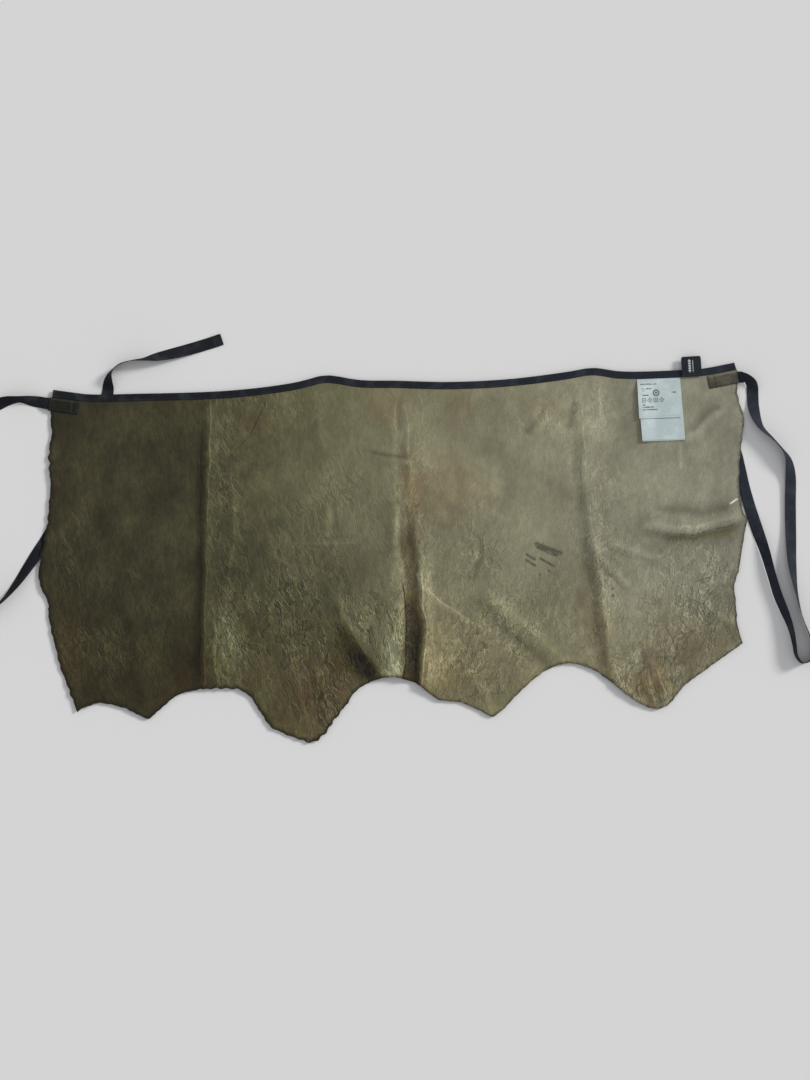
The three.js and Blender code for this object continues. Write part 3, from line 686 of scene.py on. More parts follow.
hideLook = {
    "columns": 336, "rows": 144, "ragged": 1.1, "raggedFine": 1.5,
    # colours from the left end to the right one, with the place of each: the leather's olive tone, darkened towards
    # the left by painted shade for light falling from the right
    "tonesWithPaintedShade": [
        (-0.460, tone(55, 51, 32)), (-0.350, tone(58, 55, 35)), (-0.250, tone(61, 58, 37)),
        (-0.180, tone(82, 79, 54)), (-0.100, tone(94, 91, 66)), (-0.020, tone(108, 105, 80)),
        (0.060, tone(125, 121, 96)), (0.200, tone(130, 127, 104)), (0.330, tone(132, 130, 111)),
        (0.460, tone(128, 126, 109)),
    ],
    # brown stains: middle, half sizes, strength
    "stains": [
        (-170, 166, 74, 32, 0.34), (-12, 188, 34, 30, 0.5), (66, 76, 66, 52, 0.42), (-320, -176, 110, 42, 0.42),
        (50, -150, 44, 60, 0.4), (-100, -215, 60, 46, 0.55), (-80, -166, 34, 32, 0.5), (262, -90, 24, 80, 0.3),
        (-420, -120, 40, 70, 0.34), (22, 10, 16, 110, 0.55), (88, 190, 20, 30, 0.35), (380, -130, 70, 50, 0.3),
        (330, -180, 46, 34, 0.45), (-300, 190, 60, 16, 0.3), (-130, -150, 60, 50, 0.25), (205, 175, 50, 34, 0.16),
        (-262, -150, 22, 44, 0.6),
    ],
    # soft dark and light places, mostly painted shade and painted highlight over the folds, with some of the
    # leather's own darker and lighter tone: middle, half sizes, lean in degrees, and strength
    "paintedShadeAndLight": [
        (-45, -36, 46, 40, 0, -0.24), (-110, -100, 36, 60, 0, -0.26), (-158, -60, 30, 70, 10, 0.12),
        (-264, -150, 26, 44, 0, -0.3),
        (-430, 172, 26, 24, 0, -0.34), (62, -150, 22, 46, -20, 0.26), (-214, -134, 17, 46, 4, 1.65),
        (-224, -94, 11, 26, 0, 0.55), (-228, 160, 11, 56, 0, 0.46), (-212, 60, 14, 90, 0, 0.14),
        (-14, -108, 28, 44, 26, 0.34), (0, -150, 12, 22, 20, 0.2), (-62, -150, 34, 24, 0, -0.34),
        (376, -150, 44, 34, 20, -0.14), (150, -150, 52, 26, 42, -0.14),
        (217, -22, 46, 24, 0, -0.12), (217, 172, 46, 30, 0, 0.10), (5, 24, 4, 40, 0, 0.42),
        (-400, 38, 12, 32, 18, 0.34), (-345, 30, 7, 20, 14, 0.3), (-84, 40, 6, 24, 0, 0.34),
        (452, -62, 14, 20, 0, -0.34), (441, -112, 14, 12, 0, -0.3), (-140, -190, 18, 52, -14, -0.2),
        (100, -4, 8, 18, 0, 0.16), (104, 32, 10, 10, 0, 0.12), (40, 150, 12, 50, 4, 0.16),
        (-60, 190, 50, 18, 0, 0.1),
        (-330, 196, 90, 12, 0, -0.2), (405, 180, 9, 30, -48, -0.18),
        (-150, 168, 66, 36, 0, 0.24), (66, 168, 34, 34, 0, -0.14), (60, -30, 34, 26, 0, -0.16),
        (140, -30, 50, 30, 0, -0.16), (-108, 40, 44, 28, 0, -0.2), (-190, 2, 40, 60, 0, -0.18),
        (-34, -150, 15, 26, 0, -0.4), (-30, 106, 44, 34, 0, 0.13), (-420, 40, 26, 24, 0, 0.2),
        (-424, -110, 24, 60, 0, 0.24), (374, 40, 34, 20, 0, -0.18), (430, 30, 20, 34, 0, -0.16),
        (374, -92, 36, 30, 0, 0.12), (295, -150, 26, 26, 0, -0.16), (0, -150, 10, 24, 8, 1.9),
        (19, -160, 9, 26, 4, -0.7), (26, -118, 8, 20, 0, -0.2),
        (-62, -134, 18, 20, 0, -0.26), (328, -184, 14, 18, 0, -0.4), (348, -158, 11, 18, 0, 0.3),
        (-90, -204, 20, 26, 0, -0.24), (-12, -118, 18, 22, 20, 0.2),
    ],
    # where the skin is finely wrinkled
    "wrinkled": [
        (-130, -100, 62, 110, 18, 0.9), (-214, -120, 22, 58, 0, 0.9), (-20, -110, 38, 58, 20, 1.0),
        (120, -130, 80, 52, 40, 0.75), (395, -70, 56, 80, 0, 0.7), (330, -170, 46, 40, 0, 0.8),
        (-380, -130, 70, 70, 0, 0.4), (-420, 10, 30, 70, 0, 0.3), (-224, 90, 26, 110, 0, 0.5),
        (-80, 60, 60, 50, 0, 0.3), (110, 0, 40, 50, 0, 0.35), (-160, 190, 50, 26, 0, 0.4),
        (215, 180, 50, 26, 0, 0.3),
        (270, 0, 30, 160, 4, 0.3), (-80, -210, 40, 46, 0, 0.7), (26, 0, 24, 150, 0, 0.4),
    ],
    # soft strokes of painted shade in fold valleys and painted highlight on fold ridges: points, half widths to the
    # left and right of the line, strength
    "paintedShadeStrokes": [
        ([(-249, -184), (-249, -45), (-247, 60), (-249, 208)], 9, 4, -0.36),
        ([(-239, -180), (-240, -45), (-237, 60), (-236, 208)], 2, 7, 0.36),
        ([(8, -206), (17, -134), (19, -104), (16.5, -71), (13, -36)], 1.8, 19, -0.95),
        ([(26, -206), (30, -104), (24, -50)], 6, 7, -0.45),
        ([(24, -48), (22, -10), (24, 40)], 8, 8, -0.3),
        ([(18, -202), (-40, -133), (-68, -88), (-76, -66)], 24, 2.6, -0.62),
        ([(46, -206), (47, -100), (42, -50), (41, 4)], 3, 12, 0.36),
        ([(13, -160), (14, -104), (9, -60)], 9, 2, 0.22),
        ([(292, -214), (272, -92), (264, -40)], 14, 4, -0.26), ([(266, -40), (254, 60), (244, 205)], 8, 3, -0.05),
        ([(293, -170), (280, -92), (268, -9), (252, 120), (249, 205)], 2, 10, 0.16),
        ([(346, 22), (390, 17), (423, 24), (462, 36)], 2, 13, -0.4),
        ([(330, 33), (390, 29), (423, 37), (462, 48)], 8, 2, 0.2), ([(350, 56), (400, 52), (446, 62)], 9, 9, -0.16),
        ([(9, 150), (10, 208)], 4, 4, -0.2), ([(96, -62), (150, -110), (226, -176)], 12, 14, -0.15),
        ([(112, -50), (170, -100), (240, -160)], 12, 8, 0.05),
        ([(90, 27), (109, 9), (113, -10), (98, -40)], 6, 3, -0.3),
        ([(322, -214), (336, -170), (350, -136)], 4, 4, 0.34),
        ([(350, -214), (342, -176), (330, -140)], 3, 3, -0.3),
        ([(207, 197), (174, 151)], 9, 9, -0.14), ([(222, 188), (238, 166)], 7, 7, -0.12),
    ],
    # thin lines along creases, pale ones painted highlight and dark ones painted shadow: points and strength
    "pale": [
        ([(-245, -216), (-243, -60), (-241, 20)], 0.9), ([(-241, 0), (-238, 120), (-237, 240)], 0.9),
        ([(-235, -64), (-229, -110), (-231, -150), (-226, -206)], 1.0),
        ([(-226, -88), (-214, -108), (-204, -126)], 0.8),
        ([(-223, -112), (-219, -140), (-222, -172)], 0.7), ([(-214, -136), (-204, -160)], 0.5),
        ([(-216, -52), (-208, -78)], 0.6),
        ([(-118, -60), (-104, -96)], 0.5), ([(-150, -40), (-136, -74)], 0.5), ([(-96, -150), (-88, -186)], 0.5),
        ([(-140, -172), (-132, -216)], 0.6), ([(-112, -196), (-100, -240)], 0.7),
        ([(-92, -190), (-80, -226)], 0.7), ([(-66, -150), (-50, -176)], 0.5),
        ([(-138, -120), (-128, -152)], 0.5), ([(-170, -84), (-160, -108)], 0.5),
        ([(-227, -177), (-230, -118), (-220, -85), (-215, -45), (-207, 15), (-207, 61), (-212, 121)], 0.5),
        ([(3, 150), (3, 196)], 0.45), ([(26, 55), (21, 124), (16.5, 212)], 0.5), ([(26, 56), (37, 67)], 0.5),
        ([(30, -216), (42, -134), (44, -97), (39, -71), (37, -38), (36, 4)], 1.0), ([(10, 58), (26, 57)], 0.3),
        ([(283, -155), (277, -92), (270, -45), (265, -9), (258, 24), (253, 74), (247, 140), (243, 205)], 0.5),
        ([(269, 168), (269, 214)], 0.4), ([(360, 33), (390, 29), (423, 37), (458, 48)], 0.22),
        ([(260, -1), (284, -25), (307, -48)], 0.35), ([(280, 5), (301, -5), (350, -11)], 0.25),
        ([(39, -49), (98, -94)], 0.75),
        ([(94, 174), (94, 212)], 0.3), ([(373, 102), (373, 142)], 0.4), ([(-133, 114), (-127, 102)], 0.5),
        ([(-160, 72), (-154, 60)], 0.5), ([(-188, 86), (-180, 76)], 0.5), ([(98, 77), (113, 92)], 0.5),
        ([(126, 40), (132, 20)], 0.3), ([(-344, 50), (-350, 14)], 0.4), ([(-60, -88), (-44, -112)], 0.4),
        ([(24, -62), (37, -82)], 0.7), ([(106, 24), (112, 4), (108, -14)], 0.35), ([(-88, -96), (-70, -84)], 0.4),
        ([(330, 80), (338, 40)], 0.25), ([(326, -212), (316, -162)], 0.9), ([(342, -206), (328, -150)], 0.9),
        ([(356, -196), (342, -150)], 0.8), ([(300, -200), (288, -150)], 0.5), ([(-352, -22), (-322, -42)], 0.4),
        ([(-380, -96), (-366, -126)], 0.4),
    ],
    "dark": [
        ([(7, -206), (16.5, -134), (18.5, -104), (16, -71), (12.5, -42), (9, -12)], 1.0),
        ([(-34, 128), (24, 118)], 0.28), ([(-4, -168), (-42, -131), (-70, -81)], 0.6),
        ([(-251, -220), (-249, 240)], 0.5),
        ([(-159, 203), (-187, 147), (-209, 125)], 0.75), ([(-62, -54), (-50, -92)], 0.4),
        ([(-22, -54), (-15, -88), (-22, -118)], 0.5), ([(-38, -84), (-29, -112)], 0.5),
        ([(-10, -64), (-4, -96)], 0.5),
        ([(28, -58), (41, -90)], 0.7), ([(112, -76), (198, -146)], 0.3),
        ([(-94, -236), (-104, -182), (-113, -138)], 0.6),
        ([(-124, -228), (-122, -188)], 0.5), ([(-78, -246), (-86, -206), (-98, -168)], 0.8),
        ([(-226, -120), (-229, -160)], 0.7), ([(343, -197), (325, -160)], 0.6), ([(358, -188), (345, -160)], 0.5),
        ([(-394, -100), (-368, -136)], 0.4), ([(350, 24), (390, 19), (423, 27), (455, 38)], 0.6),
        ([(-108, 12), (-42, 11)], 0.4), ([(-20, 0), (-2, -12)], 0.5), ([(-10, -108), (-14, -130)], 0.8),
        ([(-2, -120), (2, -150)], 0.4), ([(-26, -132), (-12, -160)], 0.5), ([(-282, -60), (-262, -96)], 0.4),
        ([(262, -14), (286, -38), (306, -58)], 0.3), ([(350, -206), (336, -166)], 0.8),
        ([(243, 40), (243, 214)], 0.3), ([(124, -212), (110, -186)], 0.5), ([(-352, -28), (-320, -48)], 0.4),
    ],
    # dark scuffs: ends and half thickness
    "scuffs": [
        ((186, 8), (218, -4), 2.6), ((188, 3.5), (212, -7), 2.0), ((174, -6), (184, -12), 1.8),
        ((173, -13), (184, -20), 1.8), ((191, -11), (209, -21), 1.6), ((202, -27), (203, -27.6), 1.4),
        ((190, -32), (190.6, -32), 1.1), ((284.4, -50), (285, -50.2), 1.4), ((284.6, -59), (285.2, -59), 1.5),
    ],
    "nick": ((438.5, 60.5), (446.5, 66), 0.9),
}


def stroke(paint, x, y, start, end, half, ragged):
    # 1 on a short line of that half thickness in millimetres and 0 away from it, with an uneven edge
    (ax, ay), (bx, by) = start, end
    wayX, wayY = (bx - ax) * mm, (by - ay) * mm
    offX, offY = x - ax * mm, y - ay * mm
    along = (offX * wayX + offY * wayY) / (wayX**2 + wayY**2)
    along = paint.math("MINIMUM", paint.math("MAXIMUM", along, 0.0), 1.0)
    gap = ((offX - along * wayX) ** 2 + (offY - along * wayY) ** 2) ** 0.5
    return smooth(gap + ragged * (3.6 * mm), half * 1.8 * mm, half * 0.1 * mm)


def leather():
    # the hide: a run of colours along X, darker to the left by painted shade, times painted shade and highlight,
    # wrinkled and streaked shares, and a painted sheen, then stains and edge
    look = hideLook
    material, paint = startMaterial("oliveHide")
    where = objectPlace(paint)
    x, y, _ = parts(paint, where)

    def value(key):
        return paint.add("ShaderNodeAttribute", {"attribute_name": key}, {}, out=2)

    low, high = look["tonesWithPaintedShade"][0][0], look["tonesWithPaintedShade"][-1][0]
    cloud = noise(paint, where, 9, 4, 0.6)
    wobble = noise(paint, where, 24, 4, 0.65, (1.3, 0.8, 1))
    ends = [((place - low) / (high - low), colour) for place, colour in look["tonesWithPaintedShade"]]
    # the run of colours along X, darker to the left partly as painted shade
    base = paint.add("ShaderNodeValToRGB", {"stops": ends}, {0: (x + 0.06 * (cloud - 0.5) - low) / (high - low)})
    # brown stains
    brown = 0.0
    for sx, sy, rx, ry, strength in look["stains"]:
        far = (((x - sx * mm) / (rx * mm)) ** 2 + ((y - sy * mm) / (ry * mm)) ** 2) ** 0.5
        brown = brown + strength * smooth(far + 3.0 * (wobble - 0.5), 1.3, 0.1)
    brown = paint.math("MINIMUM", brown, 0.85)
    # the stain colour too is darker towards the left end: painted shade
    stain = mixColour(paint, smooth(x, -0.3, 0.15), tone(60, 49, 28), tone(124, 107, 77))
    base = mixColour(paint, brown, base, stain)
    # fine streaks and pores
    streak = noise(paint, where, 120, 4, 0.65, (2.0, 0.8, 1))
    speck = noise(paint, where, 650, 2, 0.5)
    # a net of creases, close and stretched up the hide, stronger low down; its lines darken the colour as painted
    # shade in the creases
    drift = paint.add("ShaderNodeTexNoise", {}, {"Vector": where, "Scale": 22.0, "Detail": 2.0}, out=1)
    bend = paint.add("ShaderNodeVectorMath", {"operation": "MULTIPLY_ADD"},
                     {0: drift, 1: (0.024, 0.024, 0.0), 2: where})
    netLarge = cracks(paint, bend, 95, (1.6, 0.75, 1))
    netSmall = cracks(paint, bend, 250, (1.5, 0.8, 1))
    lower = smooth(y + 0.12 * (cloud - 0.5), 0.10, -0.10)
    wrinkled = paint.math("MINIMUM", value("wrinkled"), 1.0)
    lineLarge = smooth(netLarge, 0.12, 0.0) * (0.06 + 0.3 * lower + 0.6 * wrinkled) * smooth(wobble, 0.36, 0.56)
    lineSmall = smooth(netSmall, 0.14, 0.0) * (0.2 + 0.4 * lower + 0.4 * wrinkled)
    # long wrinkles that lean to one side on the left of the hide and to the other on the right, lighter on their
    # crests as painted highlight and darker in their hollows as painted shade
    bentX, bentY, _ = parts(paint, bend)
    leftLean = noise(paint, leaning(paint, bentX, bentY, 20, 0.30), 92, 3, 0.6)
    rightLean = noise(paint, leaning(paint, bentX, bentY, -26, 0.38), 96, 3, 0.6)
    leftShare = smooth(x + 0.2 * (cloud - 0.5), 0.06, -0.02)
    crossing = leftShare * leftLean + (1 - leftShare) * rightLean
    wrinkle = smooth(abs(crossing - 0.5), 0.05, 0.0) * (0.08 + 0.92 * wrinkled) * smooth(wobble, 0.34, 0.56)
    hollow = smooth(abs(crossing - 0.42), 0.045, 0.0) * (0.06 + 0.94 * wrinkled)
    # painted highlight on crests and painted shade in hollows, and the thin painted highlight and shadow lines of
    # old creases with uneven edges and gaps
    ragged = noise(paint, where, 420, 3, 0.6) - 0.5
    broken = smooth(noise(paint, where, 110, 3, 0.6), 0.38, 0.60)
    crest = value("crest")

    def creaseLine(key):
        strength = value(key + "Strength")
        whole = paint.math("MINIMUM", broken + strength ** 4, 1.0)
        return smooth(abs(value(key + "Line") + ragged * (2.2 * mm)), 1.7 * mm, 0.1 * mm) * strength * whole

    paleLine, darkLine = creaseLine("pale"), creaseLine("dark")
    leftward = smooth(x, -0.05, -0.28)
    shade = (1 + 1.3 * (cloud - 0.5)) * (1 + (0.7 + 0.7 * leftward) * (wobble - 0.5))
    shade = shade * (1 + (0.5 + 0.8 * leftward) * (streak - 0.5)) * (1 + 0.35 * (speck - 0.5))
    # the net's lines and the wrinkles' hollows darken as painted shade, and the wrinkles' crests lighten as painted
    # highlight
    shade = shade * (1 - 0.34 * lineLarge - 0.14 * lineSmall) * (1 + 0.8 * wrinkle) * (1 - 0.4 * hollow)
    # lighter where the hide stands over its surroundings and darker where it sinks: painted highlight and painted
    # shade
    shade = shade * (1 + 0.22 * crest)
    # darker on the lower half, and darker again towards the left end as painted shade
    shade = shade * (1 - 0.13 * lower) * (1 - 0.09 * smooth(x, -0.12, -0.24))
    # pale lines add painted highlight and dark lines painted shadow
    shade = shade * (1 + 0.62 * paleLine) * (1 - 0.62 * darkLine)
    # the painted shade and painted highlight places, made uneven by noise
    painted = 1 + value("shade") * (0.9 + 1.2 * (wobble - 0.5) + 0.8 * (streak - 0.5))
    shade = shade * paint.math("MAXIMUM", painted, 0.1)
    base = paint.add("ShaderNodeVectorMath", {"operation": "SCALE"}, {0: base, "Scale": shade})
    warm = smooth(y + 0.14 * (cloud - 0.5), 0.03, -0.17) * (0.7 + 0.3 * leftward)
    base = mixColour(paint, warm, base, (1.04, 0.985, 0.80, 1), "MULTIPLY")
    # browner where the painted shade is deepest
    deep = smooth(value("shade"), -0.15, -0.6)
    base = mixColour(paint, deep, base, (1.05, 0.96, 0.66, 1), "MULTIPLY")
    # cooler and glossier where the painted highlight is strong: a painted sheen
    paintedSheen = smooth(value("shade"), 0.2, 1.0)
    base = mixColour(paint, paintedSheen, base, (0.93, 1.02, 1.22, 1), "MULTIPLY")
    # scuffs and the nick
    scuffed = 0.0
    smear = noise(paint, leaning(paint, x, y, 66, 0.12), 520, 3, 0.6) - 0.5
    for start, end, half in look["scuffs"]:
        scuffed = scuffed + stroke(paint, x, y, start, end, half, smear)
    scuffed = paint.math("MINIMUM", scuffed, 1.0) * (0.35 + 0.65 * smooth(smear, -0.22, 0.02))
    base = mixColour(paint, 0.72 * scuffed, base, tone(38, 40, 32))
    base = mixColour(paint, stroke(paint, x, y, *look["nick"], ragged), base, tone(226, 222, 205))
    # raw edge: dark and fibrous
    rim = value("rim")
    fringe = smooth(rim + 8.0 * mm * (noise(paint, where, 210, 4, 0.7) - 0.5) + 1.6 * smooth(x, -0.1, 0.1) * mm,
                    6.4 * mm, 0.6 * mm)
    base = mixColour(paint, 0.85 * fringe, base, tone(30, 22, 13))
    rough = 0.56 - 0.12 * paintedSheen - 0.16 * wrinkled + 0.16 * (streak - 0.5) + 0.15 * fringe
    height = (0.22 * streak + 0.18 * speck - 0.9 * lineLarge - 0.4 * lineSmall + 0.8 * paleLine - 1.2 * darkLine
              + 1.6 * wrinkle - 0.8 * hollow + 3.2 * crossing * (0.10 + 0.90 * wrinkled))
    return endMaterial(material, paint, base, rough, height, 0.75, 0.7 * mm, {"Specular IOR Level": 0.2})


def bells(x, y, places):
    # the sum of smooth bells: middle, half sizes, lean in degrees, and strength
    total = np.zeros(np.shape(x))
    for px, py, rx, ry, lean, strength in places:
        c, s = cos(radians(lean)), sin(radians(lean))
        u, v = ((x - px) * c + (y - py) * s) / rx, ((y - py) * c - (x - px) * s) / ry
        total += strength * np.exp(-(u**2 + v**2))
    return total


def paintedShade(x, y):
    # painted shade and painted highlight: soft dark and light places, each a bell round its middle or its line
    shade = bells(x, y, hideLook["paintedShadeAndLight"])
    x, y = wander(x, y)
    for points, left, right, strength in hideLook["paintedShadeStrokes"]:
        signed, share = distanceTo(x, y, points)
        width = np.where(signed > 0, left, right)
        shade += strength * np.exp(-(signed / width) ** 2) * step(-0.02, 0.16, share) * step(1.02, 0.70, share)
    return np.clip(shade, -0.92, 2.0)


def thinLines(x, y, lines):
    # signed distance in metres to the nearest line, and that line's strength, which fades towards its ends
    x, y = wander(x, y)
    nearest, strength = np.full(np.shape(x), 1e3), np.zeros(np.shape(x))
    for points, force in lines:
        signed, share = distanceTo(x, y, points)
        closer = np.abs(signed) < np.abs(nearest)
        nearest = np.where(closer, signed, nearest)
        strength = np.where(closer, force * step(0, 0.2, share) * step(1, 0.8, share), strength)
    return nearest * mm, strength


def crestOf(height):
    # how far the surface stands over its own surroundings: the height less a blurred copy of it, about -1 to 1
    blurred = height
    for _ in range(5):
        padded = np.pad(blurred, 1, mode="edge")
        blurred = (padded[:-2, 1:-1] + padded[2:, 1:-1] + padded[1:-1, :-2] + padded[1:-1, 2:]
                   + 2 * padded[1:-1, 1:-1]) / 6
    return np.clip((height - blurred) / (0.20 * mm), -1, 1)


def raggedEdge(points, seed):
    # the raw edge wanders off its smooth line by fractions of a millimetre; its ends stay
    along = lineLength(points) / mm
    ahead = headings(points)
    out = np.stack([ahead[:, 1], -ahead[:, 0]], axis=1)
    tips = step(0, 12, along) * step(0, 12, along[-1] - along)
    torn = 1 + 1.1 * step(0.06, -0.08, points[:, 0])
    rough = (hideLook["ragged"] * grainAlong(along / 13, seed)
             + hideLook["raggedFine"] * grainAlong(along / 7.0, seed + 1))
    return points + out * (rough * torn * tips * mm)[:, None]


def addHide():
    # Coons patch: the grid is blended from the four edges, less the corners counted twice
    rows, columns = hideLook["rows"], hideLook["columns"]
    edges = [raggedEdge(e, 40 + 2 * i) if i else e for i, e in enumerate((waistEdge, rightEdge, hemEdge, leftEdge))]
    waist, hem = evenly(edges[0], columns), evenly(edges[2], columns)
    right, left = evenly(edges[1], rows), evenly(edges[3], rows)
    u, v = np.linspace(0, 1, columns)[None, :, None], np.linspace(0, 1, rows)[:, None, None]
    plan = ((1 - v) * hem[None] + v * waist[None] + (1 - u) * left[:, None] + u * right[:, None]
            - (1 - u) * (1 - v) * hem[0] - u * (1 - v) * hem[-1] - (1 - u) * v * waist[0] - u * v * waist[-1])
    x, y = plan[..., 0], plan[..., 1]
    raw = np.concatenate([evenly(e, 420) for e in edges[1:]])
    rim = np.min([np.hypot(x - p[0], y - p[1]) for p in raw], axis=0)
    underside = drape(x, y, rim)
    rolled = 0.4 * mm * step(1.5 * mm, 0, rim)
    top = np.stack([x, y, underside + thickness - rolled], axis=-1)
    bottom = np.stack([x, y, underside + rolled], axis=-1)
    paleLine, paleStrength = thinLines(x / mm, y / mm, hideLook["pale"])
    darkLine, darkStrength = thinLines(x / mm, y / mm, hideLook["dark"])
    values = {"crest": crestOf(underside), "rim": rim, "shade": paintedShade(x / mm, y / mm), "paleLine": paleLine,
              "paleStrength": paleStrength, "darkLine": darkLine, "darkStrength": darkStrength,
              "wrinkled": bells(x / mm, y / mm, hideLook["wrinkled"])}
    piece = shell("hideLeather", top, bottom, leather(), values=values)
    attach(piece, "apron", "hide")


addHide()


bindingLook = {"depth": 9.5, "thickness": 0.7, "seam": 1.8, "pitch": 3.3, "stitch": 2.5, "thread": 0.24,
               "rows": 700}


def waistFrames(rows):
    # the waist edge, smoothed and evenly spaced, with its directions along and out
    line = evenly(soften(evenly(waistEdge, 900), 10), rows)
    ahead = headings(line)
    out = np.stack([-ahead[:, 1], ahead[:, 0]], axis=1)
    return line, ahead, out


def addBinding():
    # a folded tape: depth is measured from the fold, height from the floor, both in millimetres
    look = bindingLook
    top, low = (waistLevel + thickness) / mm, waistLevel / mm
    t, d, gap = look["thickness"], look["depth"], 0.15
    outer = [(-d + 0.15, low - gap - t), (-6.4, low - gap - t - 0.05), (-3.2, low - gap - t - 0.03),
             (-1.1, low - gap - t + 0.08), (-0.25, low - gap - 0.15), (0, (top + low) / 2),
             (-0.25, top + gap + 0.15), (-1.1, top + gap + t - 0.08), (-3.2, top + gap + t + 0.06),
             (-6.2, top + gap + t + 0.08), (-d + 0.7, top + gap + t), (-d, top + gap + t - 0.25)]
    inner = [(-d, top + gap), (-6.2, top + gap), (-3.2, top + gap), (-1.4, top + gap - 0.05),
             (-0.85, (top + low) / 2), (-1.4, low - gap + 0.05), (-3.2, low - gap), (-6.2, low - gap),
             (-d, low - gap)]
    profile = np.array(outer + inner)
    line, ahead, out = waistFrames(look["rows"])
    fold = line + out * (t + 0.3) * mm
    along = lineLength(line) / mm
    uneven = 0.32 * grainAlong(along / 42, 61) + 0.16 * grainAlong(along / 9, 62)
    pucker = 0.05 * np.sin(2 * np.pi * along / look["pitch"]) + 0.14 * grainAlong(along / 17, 63)
    share = np.clip(-profile[:, 0] / d, 0, 1)
    across = profile[None, :, 0] + uneven[:, None] * share[None, :]
    height = profile[None, :, 1] + pucker[:, None] * (profile[None, :, 1] > top) * (share > 0.1)
    plan = fold[:, None] + out[:, None] * across[..., None] * mm
    points = np.concatenate([plan, height[..., None] * mm], axis=-1)
    rows, columns = points.shape[:2]
    quads, rowAt, columnAt = gridQuads(rows, columns, wrap=True)
    around = lineLength(np.concatenate([profile, profile[:1]])) * mm
    uv = np.stack([around[columnAt], along[rowAt] * mm], axis=-1).reshape(-1, 2)
    # each end is closed by the cut layers of the tape
    caps = capQuads(len(outer), len(inner))
    faces = withEnds(quads, caps, rows, columns)
    capUv = np.zeros((sum(len(c) for c in caps) * 2, 2))
    piece = makePiece("waistBinding", points.reshape(-1, 3), faces, bindingTwill, np.concatenate([uv, capUv]))
    attach(piece, "apron", "waist_binding")

    count = int(along[-1] / look["pitch"])
    at = np.linspace(2, along[-1] - 2, count)
    seamDepth = (-d + look["seam"]) * mm
    seam = np.stack([np.interp(at, along, (fold + out * seamDepth)[:, i]) for i in range(2)], axis=1)
    way = np.stack([np.interp(at, along, ahead[:, i]) for i in range(2)] + [np.zeros(count)], axis=1)
    centre = np.concatenate([seam, np.full((count, 1), (top + gap + t + 0.12) * mm)], axis=1)
    up = np.zeros((count, 3)) + (0, 0, 1)
    rowPiece = stitches("bindingStitches", centre, way, up, look["stitch"] * mm, look["thread"] * mm,
                        darkThread)
    attach(rowPiece, "apron", "waist_binding_thread")
    print("the binding is sewn with", count, "stitches")


def capQuads(outerCount, innerCount):
    # strips between the outside of a folded section and its inside, which run opposite ways round
    total = outerCount + innerCount
    faces, i, j = [], 0, total - 1
    while i < outerCount - 1 or j > outerCount:
        stepOuter = (i + 1) / outerCount <= (total - j) / innerCount
        if (stepOuter and i < outerCount - 1) or j <= outerCount:
            faces.append([i, i + 1, j])
            i += 1
        else:
            faces.append([i, j - 1, j])
            j -= 1
    return faces


addBinding()


def onHide(x, y):
    # height of the hide's upper face
    return drape(x, y) + thickness


def placeAt(x, y, origin, angle):
    # local millimetres to the row frame in metres
    return (origin[0] + (x * cos(angle) - y * sin(angle)) * mm,
            origin[1] + (x * sin(angle) + y * cos(angle)) * mm)


tabLook = {"halfX": 19.5, "halfY": 8.75, "radius": 1.6, "thickness": 1.05, "seam": 1.9, "pitch": 2.9,
           "stitch": 2.1, "thread": 0.25}


def tabMaterial(name, dark, pale, paleSide):
    # smooth dyed leather: fine pores, worn edges, a paler band along one side
    material, paint = startMaterial(name)
    where = objectPlace(paint)
    u, v = weaveOf(paint)
    cloud = noise(paint, where, 90, 4, 0.6)
    pore = cracks(paint, where, 900)
    base = mixColour(paint, smooth(cloud, 0.35, 0.68), dark, pale)
    edge = smooth(paint.math("MAXIMUM", abs(u), abs(v)), 0.86, 1.0)
    base = mixColour(paint, 0.8 * smooth(v + 0.3 * (cloud - 0.5), 0.5, 0.75), base, paleSide)
    base = mixColour(paint, 0.45 * edge, base, tone(16, 15, 12))
    base = mixColour(paint, 0.4 * smooth(pore, 0.12, 0.0), base, tone(14, 13, 10))
    height = 1.0 * smooth(pore, 0.0, 0.2) + 1.4 * cloud
    return endMaterial(material, paint, base, 0.55 - 0.12 * cloud, height, 0.4, 0.25 * mm,
                       {"Specular IOR Level": 0.18})


def overTapeEnd(x, y, inward):
    # 1 where the tape's end lies under the tab, falling smoothly to 0 past its edges
    return step(9.0, 6.4, np.abs(y)) * step(12.5, 8.5, x * inward)


